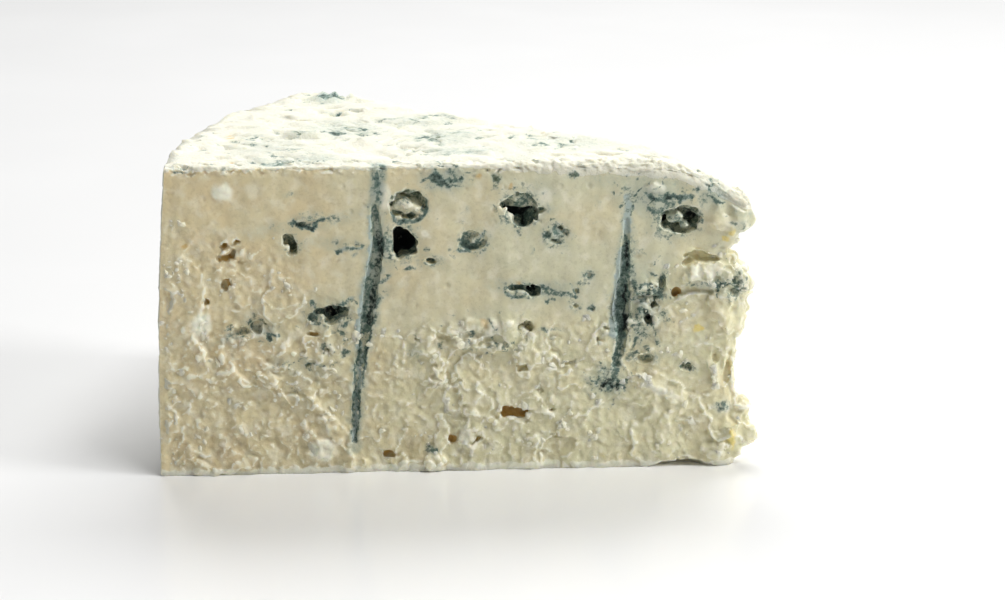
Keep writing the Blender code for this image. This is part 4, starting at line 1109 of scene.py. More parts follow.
def paste_relief(points, shape):
    """Returns how far the paste stands out of its smooth form."""
    x, z = points[:, 0], points[:, 2]
    curd = shape.curd_size / MM
    warped = points + 2.4 * noise_vectors(points, 8.0, 21) + 0.9 * noise_vectors(points, 2.6, 31)
    ragged = warped + 0.55 * noise_vectors(points, 1.3, 35)
    leaning = stretched(warped, (0.45, 0.0, -0.9), 0.38)
    grains = pebbles(points + 0.5 * noise_vectors(points, 1.7, 61), 2.1, 71) - 0.6
    patches = ease(0.02, 0.4, soft_noise(points, 10.0, 95))

    crumbly = patch_share(x, z, CRUMBLY_PATCHES)
    folded = ease(-78.0, -88.0, x) * ease(40.0, 30.0, z)
    rest = np.clip(1.0 - crumbly - folded, 0.0, 1.0)

    swell = soft_noise(warped, 1.6 * curd, 41) + 0.35 * soft_noise(warped, 0.7 * curd, 43)
    broad = sheets(warped, 1.7 * curd, 0.0, 51)
    middle = sheets(ragged, 0.75 * curd, 0.04, 53)
    small = sheets(ragged, 0.36 * curd, 0.12, 57, 0.5)
    chips = sheets(ragged, 0.2 * curd, 0.28, 59, 0.2)
    folds = 0.5 - 1.5 * np.abs(soft_noise(leaning, 8.0, 101))
    smear = sheets(leaning, 4.6, 0.05, 103)
    nicks = ease(0.38, 0.6, soft_noise(ragged, 2.4, 107))

    relief = rest * (0.8 * swell + 0.8 * broad + 0.3 * middle + 0.3 * small * patches)
    relief += folded * (0.8 * swell + 1.0 * folds + 0.5 * smear + 0.2 * middle + 0.2 * chips * patches)
    relief += crumbly * (0.8 * swell + 0.65 * broad + 0.6 * middle + 0.3 * chips * patches)
    relief += crumbly * (0.4 * small + 0.35 * smear) * (0.35 + 0.65 * patches)
    relief += crumbly * (0.55 * grains * ease(0.25, 0.6, patches) - 0.9 * nicks * patches)
    relief -= 1.3 * patch_share(x, z, DIPPED_PATCHES) * (1.0 - 0.3 * middle)
    relief += folded * 0.45 * sheets(ragged, 3.2, 0.1, 109, 0.5)
    active = 0.42 + 0.58 * ease(-0.25, 0.35, soft_noise(points, 17.0, 97))
    active = np.maximum(active, patch_share(x, z, FLAKY_PATCHES))
    relief += patch_share(x, z, GRAINY_PATCHES) * (1.1 * grains - 0.6 * nicks)
    relief = (relief - 0.6) * active * (1.0 - 0.85 * patch_share(x, z, SMOOTH_PATCHES))

    smears = soft_noise(stretched(points, (0.05, 0.0, 1.0), 0.3), 2.6, 111)
    pits = ease(0.45, 0.75, soft_noise(points, 2.2, 121)) * ease(0.0, 0.3, soft_noise(points, 12.0, 122))
    calm = 0.5 * soft_noise(points, 10.0, 113) + 0.16 * soft_noise(points, 3.6, 114)
    calm += 0.1 * smears - 0.3 * pits
    broken = np.maximum(torn(points), patch_share(x, z, CRUMBLY_PATCHES[1:2]))
    return broken * relief * (shape.torn_relief / MM) + calm


def rind_cracks(points):
    """Returns the wide and the fine cracks of the rind, 0 beside them and 1 in them."""
    warped = points + 1.8 * noise_vectors(points, 5.0, 131) + 0.5 * noise_vectors(points, 1.4, 134)
    drawn = stretched(warped, (1.0, 0.25, 0.0), 0.5)
    patches = ease(-0.1, 0.25, soft_noise(points, 11.0, 137))
    wide = ease(0.12, 0.03, np.abs(soft_noise(drawn, 5.2, 141))) * patches
    fine = ease(0.15, 0.04, np.abs(soft_noise(drawn, 2.6, 145)))
    fine *= ease(-0.2, 0.2, soft_noise(points, 7.0, 147))
    gaps = ease(0.0, 0.22, soft_noise(points, 2.8, 149))
    return wide * gaps, fine * gaps


def rind_relief(points, shape):
    """Returns how far the rind stands out of its smooth form."""
    warped = points + 1.6 * noise_vectors(points, 5.0, 131) + 0.5 * noise_vectors(points, 1.4, 134)
    radius = np.hypot(points[:, 0], points[:, 1])
    rim = ease(WHEEL_RADIUS - 2.6, WHEEL_RADIUS - 1.0, radius)
    wide, fine = rind_cracks(points)
    flakes = sheets(warped, 5.5, 0.0, 151) + 0.6 * sheets(warped, 2.6, 0.1, 153)
    wrinkles = soft_noise(stretched(warped, (0.3, 1.0, 0.0), 0.4), 4.5, 155)
    relief = 0.9 * soft_noise(points, 12.0, 161) + 0.4 * soft_noise(points, 4.0, 171)
    relief += 0.55 * flakes - 0.5 - 2.4 * wide - 1.3 * fine + 0.35 * rim * wrinkles
    relief += 0.3 * soft_noise(points, 1.0, 181)
    near_cut = ease(7.0, 2.0, points[:, 1]) * ease(-70.0, -20.0, points[:, 0])
    relief += near_cut * (0.7 * sheets(warped, 1.9, 0.05, 187) + 0.5 * soft_noise(points, 0.8, 189))
    mound = ease(1.3, 0.4, oval(points[:, 0], points[:, 1], -87.5, 72.5, 8.0, 6.5))
    relief += mound * (4.0 * np.abs(soft_noise(warped, 3.4, 185)) - 0.6)
    return relief * (1.0 - 0.6 * rim * ease(14.0, 4.0, points[:, 1])) * (shape.rind_relief / MM)


def rind_reach(x):
    """Returns how far the rind reaches over the edge of the long cut."""
    return 0.7 + 2.9 * ease(-64.0, -14.0, x)


def round_near_edge(points):
    """Rounds the edge between the top and the long cut, more towards the tip where the ledge is powdery."""
    reach = rind_reach(points[:, 0]) + 0.4 * soft_noise(points, 5.0, 191)
    reach = np.maximum(reach, 0.4)
    in_from_cut = reach - points[:, 1]
    down_from_top = reach - (HEIGHT - points[:, 2])
    corner = np.hypot(in_from_cut, down_from_top)
    outside = (in_from_cut > 0.0) & (down_from_top > 0.0) & (corner > reach)
    scale = np.where(outside, reach / np.maximum(corner, 1e-6), 1.0)
    rounded = points.copy()
    rounded[:, 1] = np.where(outside, reach - in_from_cut * scale, points[:, 1])
    rounded[:, 2] = np.where(outside, HEIGHT - (reach - down_from_top * scale), points[:, 2])
    return rounded


def vertex_array(mesh):
    """Returns the mesh's vertices as an array."""
    values = np.empty(len(mesh.vertices) * 3, dtype=np.float32)
    mesh.vertices.foreach_get("co", values)
    return values.reshape(-1, 3).astype(float)


def normal_array(mesh):
    """Returns the mesh's vertex normals as an array."""
    values = np.empty(len(mesh.vertices) * 3, dtype=np.float32)
    mesh.vertex_normals.foreach_get("vector", values)
    return values.reshape(-1, 3).astype(float)


def sculpt(obj, shape):
    """Gives the even mesh its bulge, droop and relief, and keeps the underside flat."""
    mesh = obj.data
    points, normals = vertex_array(mesh), normal_array(mesh)
    rind = rind_share(points)
    depth = np.minimum(points[:, 1], far_depths(points)[1])
    inside_eye = ease(1.5, 3.5, depth) * (1.0 - rind)
    relief = paste_relief(points, shape) * (1.0 - rind) * (1.0 - 0.45 * inside_eye)
    relief *= 1.0 - 0.3 * ease(3.0, 8.0, points[:, 1])
    relief += rind_relief(points, shape) * rind
    low = points[:, 2] < FLAT_FOOT
    relief *= 0.6 + 0.4 * ease(0.0, 3.0, points[:, 2])

    places = round_near_edge(points)
    push = normals * relief[:, None]
    push += noise_vectors(points, 1.5, 201) * (0.28 * torn(points) * (1.0 - rind))[:, None]
    push[:, 2] = np.where(low, 0.0, push[:, 2])
    radius = np.hypot(points[:, 0], points[:, 1])
    upper = np.clip(points[:, 2] / HEIGHT, 0.0, 1.0)
    swell = RIM_BULGE * ease(80.0, WHEEL_RADIUS, radius) * (1.0 - upper**2.2)
    places += push
    places[:, 0] += points[:, 0] / np.maximum(radius, 1.0) * swell
    places[:, 1] += points[:, 1] / np.maximum(radius, 1.0) * swell
    places[:, 2] -= sinking(points)
    under_edge = (points[:, 2] < 2.0 * FLAT_FOOT) & (normals[:, 2] < -0.2)
    places[:, 2] = np.where(under_edge, 0.0, places[:, 2])
    foot = places[:, 2] < FLAT_FOOT
    places[:, 2] = np.where(foot, np.maximum(0.0, (places[:, 2] - FLAT_FOOT / 2) * 2.0), places[:, 2])
    mesh.vertices.foreach_set("co", places.astype(np.float32).ravel())
    mesh.update()


def thin_out(obj, triangles):
    """Merges small faces, first where the surface is plain and on the sides that matter less."""
    mesh = obj.data
    points = vertex_array(mesh)
    front = ease(9.0, 5.0, points[:, 1]) * ease(0.3, 1.5, points[:, 2])
    top = 0.62 * ease(HEIGHT - 14.0, HEIGHT - 6.0, points[:, 2])
    weights = 1.0 - np.maximum(0.9 * front, top) - 0.1 * ease(0.3, 1.5, points[:, 2])
    group = obj.vertex_groups.new(name="plain")
    steps = np.round(np.clip(weights, 0.0, 1.0) * 20).astype(int)
    for step in range(21):
        chosen = np.nonzero(steps == step)[0]
        if len(chosen):
            group.add(chosen.tolist(), step / 20, "REPLACE")
    step = obj.modifiers.new("thin", "DECIMATE")
    step.decimate_type = "COLLAPSE"
    step.use_collapse_triangulate = True
    step.vertex_group = group.name
    step.vertex_group_factor = 0.004
    mesh.calc_loop_triangles()
    step.ratio = triangles / len(mesh.loop_triangles)
    apply_modifiers(obj)
    obj.vertex_groups.clear()


# Tints


def paint_oval(fields, closeness, lining, strength, mask):
    """Adds the tints of a lining where the closeness to its middle is above 0."""
    for tint, amount in LININGS[lining].items():
        share = closeness**1.7 if tint == "mould" else closeness
        fields[tint] = np.maximum(fields[tint], amount * strength * share * mask)


def paint_cut(fields, place, z, depth, mask, deep, eyes, marks, lines):
    """Adds the tints of one cut face."""
    for _, x, eye_z, half_width, half_height, eye_depth, lean, lining in eyes:
        edge = oval(place, z, x, eye_z, half_width, half_height, lean)
        size = min(half_width, half_height)
        # Mould lining an eye grows with how deep the surface lies: partly mould, partly painted shade
        ring = ease(1.0 + 1.1 / size, 1.0, edge) * ease(0.5, 0.9, edge) * (0.45 + 0.45 * deep)
        halo = ease(1.0 + 2.8 / size, 1.0, edge) * 0.65
        wall = ease(0.4, 1.4, depth) * ease(1.6, 1.25, edge) * (0.5 + 0.6 * deep)
        inside = mask * ease(eye_depth + 2.5, eye_depth + 0.5, depth)
        for tint, amount in LININGS[lining].items():
            # Near-black deep inside an eye where the surface lies deep: painted shade over dark mould
            if tint == "black":
                strength = ease(2.0, 4.4, depth) * ease(1.45, 1.1, edge) * ease(0.5, 0.8, deep)
            elif tint == "ochre":
                strength = ease(0.5, 1.3, depth) * ease(1.6, 1.25, edge)
            elif tint == "veil":
                strength = np.maximum(np.maximum(ring, wall), halo)
            elif tint == "powder":
                strength = np.maximum(halo, wall) * ease(0.8, 0.3, deep)
            else:
                strength = np.maximum(ring, wall)
            fields[tint] = np.maximum(fields[tint], amount * strength * inside)
    mask = mask * ease(7.0, 3.5, depth)
    for _, x, mark_z, half_width, half_height, lean, lining, strength in marks:
        closeness = ease(2.0, 0.2, oval(place, z, x, mark_z, half_width, half_height, lean))
        paint_oval(fields, closeness, lining, strength, mask)
    for stations, lining, strength in lines:
        closeness = ease(2.0, 0.7, line_distance(place, z, stations))
        paint_oval(fields, closeness, lining, strength, mask)


def hollowness(mesh, points, normals, rounds):
    """Returns how deep each point lies below its surroundings, in millimetres."""
    edges = np.empty(len(mesh.edges) * 2, dtype=np.int32)
    mesh.edges.foreach_get("vertices", edges)
    first, second = edges.reshape(-1, 2).T
    count = len(points)
    links = np.bincount(first, minlength=count) + np.bincount(second, minlength=count)
    links = np.maximum(links, 1)
    smooth = points.copy()
    for _ in range(rounds):
        total = np.empty_like(smooth)
        for axis in range(3):
            total[:, axis] = np.bincount(first, smooth[second, axis], minlength=count)
            total[:, axis] += np.bincount(second, smooth[first, axis], minlength=count)
        smooth = 0.5 * smooth + 0.5 * total / links[:, None]
    return ((smooth - points) * normals).sum(axis=1)


def paint_top(fields, points, place, unsunk, normals):
    """Adds the tints of the top rind: its marks, its cracks and its slits."""
    deep = fields["deep"]
    facing_up = ease(0.15, 0.6, normals[:, 2]) * ease(HEIGHT - 4.0, HEIGHT - 1.5, unsunk[:, 2])
    for _, x, y, half_length, half_width, turn, lining, strength in RIND_MARKS:
        edge = oval(place[:, 0], place[:, 1], x, y, half_length, half_width, -turn)
        paint_oval(fields, ease(1.5, 0.3, edge), lining, strength, facing_up)
    veins = np.abs(soft_noise(place + 0.8 * noise_vectors(points, 3.0, 341), 4.4, 345))
    veins = ease(0.15, 0.03, veins) * ease(-0.25, 0.1, soft_noise(points, 3.2, 347))
    fields["mould"] = np.maximum(fields["mould"], 1.15 * fields["net"] * veins)
    fields["veil"] = np.maximum(fields["veil"], 0.8 * fields["net"] * ease(0.3, 0.8, veins + 0.3))
    wide, fine = rind_cracks(unsunk)
    grey_share = ease(-0.1, 0.3, soft_noise(points, 14.0, 331))
    crack_tint = np.maximum(wide, 0.8 * fine) * facing_up
    fields["veil"] = np.maximum(fields["veil"], 1.3 * crack_tint)
    fields["mould"] = np.maximum(fields["mould"], (0.7 + 0.5 * grey_share) * crack_tint)
    fields["ochre"] = np.maximum(fields["ochre"], 0.5 * wide * (1.0 - grey_share) * facing_up)
    in_slit = ease(HEIGHT - 6.0, HEIGHT - 3.0, unsunk[:, 2])
    for _, x, y, half_length, half_width, _, turn, lining in RIND_SLITS:
        edge = oval(place[:, 0], place[:, 1], x, y, half_length, half_width, -turn)
        # Slits tint more where they lie deep, partly as painted shade
        paint_oval(fields, ease(1.5, 0.5, edge) * (0.4 + 0.6 * deep), lining, 0.9, in_slit)


def tint_rind(fields, points, unsunk, normals, far_depth):
    """Adds the rind's own tint and the pale chips, and tints the band just under the ledge of the long cut
    grey-green.
    """
    radius = np.hypot(points[:, 0], points[:, 1])
    outward = (points[:, 0] * normals[:, 0] + points[:, 1] * normals[:, 1]) / radius
    rim = ease(WHEEL_RADIUS - 2.0, WHEEL_RADIUS - 0.6, radius) * ease(0.1, 0.5, outward)
    band = rind_reach(points[:, 0]) * 0.9
    band += 0.7 * soft_noise(points, 3.5, 321) + 0.5 * soft_noise(points, 1.2, 322)
    near_cut = ease(3.0, 0.5, np.minimum(points[:, 1], far_depth)) > 0.5
    rind_floor = HEIGHT - np.where(near_cut, band, 2.2)
    top = ease(rind_floor - 0.5, rind_floor + 0.5, unsunk[:, 2])
    fields["rind"] = np.maximum(top, rim)
    chip = np.clip(fields["chip"], 0.0, 1.0)
    fields["hollow"] = np.minimum(fields["hollow"], 0.5 - 0.34 * chip)
    below = HEIGHT - unsunk[:, 2] - band
    under_ledge = ease(-0.5, 0.6, below) * ease(5.0, 1.0, below)
    under_ledge *= ease(-50.0, -12.0, points[:, 0]) * near_cut
    fields["veil"] = np.maximum(fields["veil"], 0.7 * under_ledge)
    fields["olive"] = np.maximum(fields["olive"], 0.3 * under_ledge)


def tint_fields(points, normals, hollow_fine, hollow_wide):
    """Returns the tints of the finished surface at its points."""
    fields = {tint: np.zeros(len(points)) for tint in TINTS}
    # hollow and deep measure the surface's form; the finish paints highlight on crests and shade in hollows
    # from them
    fields["hollow"] = np.clip(hollow_fine / 0.35, -1.0, 1.0) * 0.5 + 0.5
    fields["deep"] = np.clip(hollow_wide / 0.9, -1.0, 1.0) * 0.5 + 0.5
    unsunk = raised(points)
    place = points + 0.7 * noise_vectors(points, 2.6, 301) + 0.3 * noise_vectors(points, 0.9, 311)
    x, z = place[:, 0], place[:, 2]
    far_place, far_depth = far_depths(place)
    tip_side = ease(-10.0, -2.0, points[:, 0])
    front_depth = points[:, 1]
    front = np.where(far_depth > front_depth * 1.2, 1.0, 0.0)
    front = np.maximum(front, tip_side * (normals[:, 1] < 0.35))
    deep = fields["deep"]
    paint_cut(fields, x, z, front_depth, front, deep, FRONT_EYES, FRONT_MARKS, FRONT_LINES)
    paint_cut(fields, far_place, z, far_depth, 1.0 - front, deep, BACK_EYES, FAR_MARKS, FAR_LINES)
    paint_top(fields, points, place, unsunk, normals)
    tint_rind(fields, points, unsunk, normals, far_depth)
    fields["torn"] = torn(points) * (1.0 - fields["rind"])
    return fields


TINT_SETS = {
    "mould_tints": ("mould", "veil", "olive", "black"),
    "warm_tints": ("ochre", "yellow", "rind", "torn"),
    "form_tints": ("hollow", "deep", "powder", "powder"),
}


def store_tints(mesh, fields):
    """Stores the tints as colour attributes, four to each."""
    for name, tints in TINT_SETS.items():
        attribute = mesh.attributes.new(name, "FLOAT_COLOR", "POINT")
        values = np.stack([np.clip(fields[tint], 0.0, 1.4) for tint in tints], axis=1)
        attribute.data.foreach_set("color", values.astype(np.float32).ravel())


def plan_shift():
    """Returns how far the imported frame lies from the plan, in metres."""
    low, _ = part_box("cheese_wedge")
    return Vector((low.x - PLAN_LOW[0] * MM, low.y - PLAN_LOW[1] * MM, 0.0))


def into_frame(obj):
    """Scales a mesh from the plan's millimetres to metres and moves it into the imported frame."""
    obj.data.transform(Matrix.Translation(plan_shift()) @ Matrix.Scale(MM, 4))


def plan_to_frame(point):
    """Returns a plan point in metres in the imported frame."""
    return Vector(point) * MM + plan_shift()


# Materials


def add_node(tree, kind, inputs=None, **choices):
    """Adds a node, sets its choices and fills its inputs with values or links."""
    new = tree.nodes.new(kind)
    for name, value in choices.items():
        setattr(new, name, value)
    for key, value in (inputs or {}).items():
        if isinstance(value, bpy.types.NodeSocket):
            tree.links.new(value, new.inputs[key])
        else:
            new.inputs[key].default_value = value
    return new


def calc(tree, operation, first, second=0.0, third=None):
    """Adds a Math node and returns its result."""
    inputs = {0: first, 1: second}
    if third is not None:
        inputs[2] = third
    return add_node(tree, "ShaderNodeMath", inputs, operation=operation).outputs[0]


def blend(tree, share, first, second, way="MIX"):
    """Mixes two colours and returns the result."""
    def full(colour):
        return colour if isinstance(colour, bpy.types.NodeSocket) else (*colour[:3], 1.0)

    inputs = {0: share, 6: full(first), 7: full(second)}
    return add_node(tree, "ShaderNodeMix", inputs, data_type="RGBA", blend_type=way).outputs[2]


def rise(tree, value, low, high):
    """Returns 0 below low, 1 above high and a smooth rise between them."""
    inputs = {"Value": value, "From Min": low, "From Max": high}
    return add_node(tree, "ShaderNodeMapRange", inputs, interpolation_type="SMOOTHSTEP").outputs[0]


def speckle(tree, place, size, seed, detail=2.0, roughness=0.5):
    """Returns noise from 0 to 1 with lumps of the given size in millimetres."""
    inputs = {
        "Vector": place,
        "W": seed,
        "Scale": 1.0 / (size * MM),
        "Detail": detail,
        "Roughness": roughness,
    }
    return add_node(tree, "ShaderNodeTexNoise", inputs, noise_dimensions="4D").outputs[0]


def times(tree, first, second):
    """Multiplies two values."""
    return calc(tree, "MULTIPLY", first, second)


def plus(tree, first, second):
    """Adds two values."""
    return calc(tree, "ADD", first, second)


def minus(tree, first, second):
    """Takes the second value from the first."""
    return calc(tree, "SUBTRACT", first, second)


def read_tints(tree):
    """Returns the stored tints of the surface by name."""
    tint = {}
    for name, tints in TINT_SETS.items():
        source = add_node(tree, "ShaderNodeAttribute", attribute_name=name)
        parts = add_node(tree, "ShaderNodeSeparateColor", {0: source.outputs["Color"]}).outputs
        for index, key in enumerate(tints[:3]):
            tint[key] = parts[index]
        if tints[3] not in tint:
            tint[tints[3]] = source.outputs["Alpha"]
    return tint


def read_noises(tree, place):
    """Returns the noises that all the finishes share, from the broadest to the finest."""
    noises = {
        "broad": speckle(tree, place, 13.0, 1.0),
        "middle": speckle(tree, place, 3.2, 2.0, 3.0),
        "fine": speckle(tree, place, 0.9, 3.0, 3.0, 0.6),
        "grit": speckle(tree, place, 0.35, 4.0, 2.0, 0.6),
    }
    noises["ragged"] = plus(tree, times(tree, noises["middle"], 0.45), times(tree, noises["fine"], 0.55))
    blotch = rise(tree, noises["ragged"], 0.38, 0.62)
    tiny = rise(tree, noises["grit"], 0.35, 0.65)
    noises["colonies"] = plus(tree, times(tree, blotch, 0.7), times(tree, tiny, 0.2))
    return noises


def paste_colour(tree, place, tint, noises, colours):
    """Paste: drier towards the rim, fatter where it tore, paler on its crests as a painted highlight and
    ochre in its hollows as painted warm shade.
    """
    along = add_node(tree, "ShaderNodeSeparateXYZ", {0: place}).outputs["X"]
    to_rim = times(tree, rise(tree, along, 0.02, -0.06), 0.7)
    drier = plus(tree, to_rim, times(tree, rise(tree, noises["broad"], 0.4, 0.68), 0.4))
    paste = blend(tree, times(tree, tint["torn"], 0.85), colours.paste, colours.paste_torn)
    paste = blend(tree, calc(tree, "MINIMUM", drier, 1.0), paste, colours.paste_warm)
    pale_share = times(tree, rise(tree, noises["middle"], 0.46, 0.66), 0.4)
    paste = blend(tree, pale_share, paste, colours.paste_pale_and_highlight)
    # Painted highlight: crests, where the surface stands out of its surroundings, turn the pale paste
    crest = times(tree, rise(tree, tint["hollow"], 0.47, 0.28), 0.95)
    paste = blend(tree, crest, paste, colours.paste_pale_and_highlight)
    # Painted warm shade: torn paste turns ochre in its hollows and where it lies deep
    warm_hollow_shade = times(tree, rise(tree, tint["hollow"], 0.56, 0.9), 0.5)
    deep_hollow_shade = times(tree, rise(tree, tint["deep"], 0.6, 0.95), 0.14)
    hollow_shade_share = times(tree, plus(tree, warm_hollow_shade, deep_hollow_shade), tint["torn"])
    paste = blend(tree, hollow_shade_share, paste, colours.ochre)
    shade = plus(tree, times(tree, noises["fine"], 0.16), 0.92)
    grey = add_node(tree, "ShaderNodeCombineColor", {0: shade, 1: shade, 2: shade}).outputs[0]
    return blend(tree, 1.0, paste, grey, "MULTIPLY")


def rind_colour(tree, tint, noises, colours):
    """Rind: powder, tan in its creases, partly as painted shade, with a thin grey dust here and there."""
    # Creases of the rind turn tan: partly the paste under the rind, partly painted shade
    cracks = times(tree, rise(tree, tint["hollow"], 0.55, 0.8), 0.7)
    rind = blend(tree, cracks, colours.rind, colours.rind_tan_and_shade)
    dust = plus(tree, noises["broad"], times(tree, noises["fine"], 0.4))
    return blend(tree, times(tree, rise(tree, dust, 0.78, 0.95), 0.25), rind, colours.veil)


def add_warm_spots(tree, ground, tint, noises, colours):
    """Adds amber pits, darkened where the surface lies deep as painted shade, and bright fat spots to the
    colour below them.
    """
    uneven = times(tree, minus(tree, noises["ragged"], 0.5), 1.3)
    ochre_share = rise(tree, plus(tree, tint["ochre"], uneven), 0.3, 0.95)
    # Painted shade: the amber darkens towards the bottom of a pit
    amber = blend(tree, rise(tree, tint["deep"], 0.6, 1.0), colours.ochre, colours.ochre_shaded)
    ground = blend(tree, times(tree, ochre_share, 0.85), ground, amber)
    yellow_share = rise(tree, plus(tree, tint["yellow"], uneven), 0.35, 0.9)
    return blend(tree, times(tree, yellow_share, 0.7), ground, colours.yellow)


def add_mould(tree, ground, tint, noises, colours):
    """Adds the mould: a veil, powdery colonies, dark blotches, thicker in crevices partly as painted shade,
    and near-black deep in the eyes as painted shade over dark mould.

    Returns the colour and how much of it is thick mould.
    """
    colonies = noises["colonies"]
    veil_share = times(tree, tint["veil"], plus(tree, times(tree, colonies, 0.6), 0.25))
    ground = blend(tree, rise(tree, veil_share, 0.0, 0.95), ground, colours.veil)
    powder_share = times(tree, tint["powder"], minus(tree, 1.1, colonies))
    ground = blend(tree, rise(tree, powder_share, 0.1, 0.8), ground, colours.powder)
    # Mould thickens in crevices: partly mould that gathers there, partly painted shade
    crevice_mould_and_shade = times(tree, minus(tree, tint["hollow"], 0.5), 0.9)
    thick = plus(tree, plus(tree, tint["mould"], minus(tree, colonies, 0.45)), crevice_mould_and_shade)
    stain_share = rise(tree, thick, 0.32, 0.92)
    stain = blend(tree, rise(tree, tint["olive"], 0.25, 0.8), colours.mould, colours.olive)
    stain = blend(tree, times(tree, minus(tree, 1.0, colonies), 0.4), stain, colours.veil)
    ground = blend(tree, times(tree, stain_share, 0.9), ground, stain)
    dark_share = rise(tree, thick, 0.85, 1.5)
    ground = blend(tree, times(tree, dark_share, 0.75), ground, colours.black)
    # Near-black of deep eyes: painted shade over dark mould
    grainy_black = plus(tree, tint["black"], times(tree, minus(tree, colonies, 0.4), 0.5))
    return blend(tree, rise(tree, grainy_black, 0.3, 0.9), ground, colours.black), stain_share


def fine_grain(tree, tint, noises, powder):
    """Returns the normals of the grain that is finer than the mesh."""
    torn_grain = plus(tree, times(tree, tint["torn"], 0.7), 0.3)
    height = plus(tree, times(tree, noises["fine"], 0.75), times(tree, noises["grit"], 0.3))
    height = times(tree, height, calc(tree, "MAXIMUM", torn_grain, times(tree, powder, 1.8)))
    inputs = {"Height": height, "Strength": 0.7, "Distance": 0.25 * MM}
    return add_node(tree, "ShaderNodeBump", inputs).outputs[0]


def cheese_material(colours):
    """Makes the finish of paste, rind and mould, which the stored tints choose between."""
    material = bpy.data.materials.new("blue_cheese")
    material.use_nodes = True
    tree = material.node_tree
    shader = tree.nodes["Principled BSDF"]
    place = add_node(tree, "ShaderNodeTexCoord").outputs["Object"]
    tint = read_tints(tree)
    noises = read_noises(tree, place)

    paste = paste_colour(tree, place, tint, noises, colours)
    rind = rind_colour(tree, tint, noises, colours)
    ragged_rind = times(tree, minus(tree, noises["fine"], 0.5), 0.7)
    powder = rise(tree, plus(tree, tint["rind"], ragged_rind), 0.4, 0.6)
    ground = blend(tree, powder, paste, rind)
    ground = add_warm_spots(tree, ground, tint, noises, colours)
    ground, stain_share = add_mould(tree, ground, tint, noises, colours)
    tree.links.new(ground, shader.inputs["Base Color"])

    # Moist paste, dry powder and dry mould
    moist = plus(tree, times(tree, noises["fine"], 0.4), 0.1)
    dry = calc(tree, "MAXIMUM", powder, stain_share)
    rough = add_node(tree, "ShaderNodeMix", {0: dry, 2: moist, 3: 0.88}, data_type="FLOAT").outputs[0]
    tree.links.new(rough, shader.inputs["Roughness"])
    shader.inputs["Subsurface Weight"].default_value = 0.7
    shader.inputs["Subsurface Radius"].default_value = (1.0, 0.88, 0.66)
    shader.inputs["Subsurface Scale"].default_value = 0.9 * MM
    shader.inputs["Specular IOR Level"].default_value = 0.6
    shader.inputs["IOR"].default_value = 1.42
    tree.links.new(fine_grain(tree, tint, noises, powder), shader.inputs["Normal"])
    return material


def floor_material(colour):
    """Makes the pale, slightly glossy finish of the floor."""
    material = bpy.data.materials.new("pale_floor")
    material.use_nodes = True
    tree = material.node_tree
    shader = tree.nodes["Principled BSDF"]
    place = add_node(tree, "ShaderNodeTexCoord").outputs["Object"]
    haze = speckle(tree, place, 60.0, 7.0)
    rough = plus(tree, times(tree, haze, 0.08), 0.16)
    tree.links.new(rough, shader.inputs["Roughness"])
    shader.inputs["Base Color"].default_value = (*colour, 1.0)
    return material


# Pieces and stage


def build_wedge(shape, colours):
    """Builds the wedge's own mesh with its tints and its finish."""
    pieces = new_collection("cheese")
    wedge = make_block(pieces)
    lumps = new_collection("lumps")
    add_lumps(LUMPS, lumps)
    boolean_all(wedge, "UNION", lumps)
    remove_collection(lumps)
    cutters = new_collection("cutters")
    cut_eyes(FRONT_EYES, front_frame(), cutters)
    cut_eyes(BACK_EYES, far_frame(), cutters)
    cut_channels(FRONT_CHANNELS, front_frame(), cutters)
    cut_channels(FAR_CHANNELS, far_frame(), cutters)
    cut_rind_slits(cutters)
    boolean_all(wedge, "DIFFERENCE", cutters)
    remove_collection(cutters)
    plugs = new_collection("plugs")
    add_lumps(PLUGS, plugs)
    boolean_all(wedge, "UNION", plugs)
    remove_collection(plugs)
    evenly_remesh(wedge, shape.surface_step / MM)
    sculpt(wedge, shape)
    thin_out(wedge, shape.triangles)
    points, normals = vertex_array(wedge.data), normal_array(wedge.data)
    fine = hollowness(wedge.data, points, normals, 4)
    wide = hollowness(wedge.data, points, normals, 30)
    store_tints(wedge.data, tint_fields(points, normals, fine, wide))
    into_frame(wedge)
    wedge.data.polygons.foreach_set("use_smooth", [True] * len(wedge.data.polygons))
    wedge.data.materials.clear()
    wedge.data.materials.append(cheese_material(colours))
    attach(wedge, "root")
    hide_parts("cheese_wedge")
    return wedge


def crumb_seats(points, tints, count, draw):
    """Chooses the vertices that crumbs cling to: torn crests of the cuts, in patches."""
    torn_share = tints["warm_tints"][:, 3].astype(float)
    patches = ease(0.0, 0.5, soft_noise(points, 6.0, 401))
    chance = torn_share * (patches * ease(1.5, 4.0, points[:, 2]) * ease(2.5, 1.0, points[:, 1]))
    chance *= ease(0.62, 0.4, tints["form_tints"][:, 0])
    far_side = (points[:, 1] > 12.0) * ease(3.0, 6.0, points[:, 2])
    chance += 0.25 * torn_share * far_side * patches
    return draw.choice(len(points), size=count, replace=False, p=chance / chance.sum())


def grain_mesh():
    """Makes the knobbly grain that every crumb is a copy of."""
    grain = bpy.data.meshes.new("grain")
    builder = bmesh.new()
    bmesh.ops.create_icosphere(builder, subdivisions=1, radius=1.0)
    for vert in builder.verts:
        vert.co *= 1.0 + 1.1 * noise.noise(vert.co * 2.3)
    builder.to_mesh(grain)
    builder.free()
    return grain


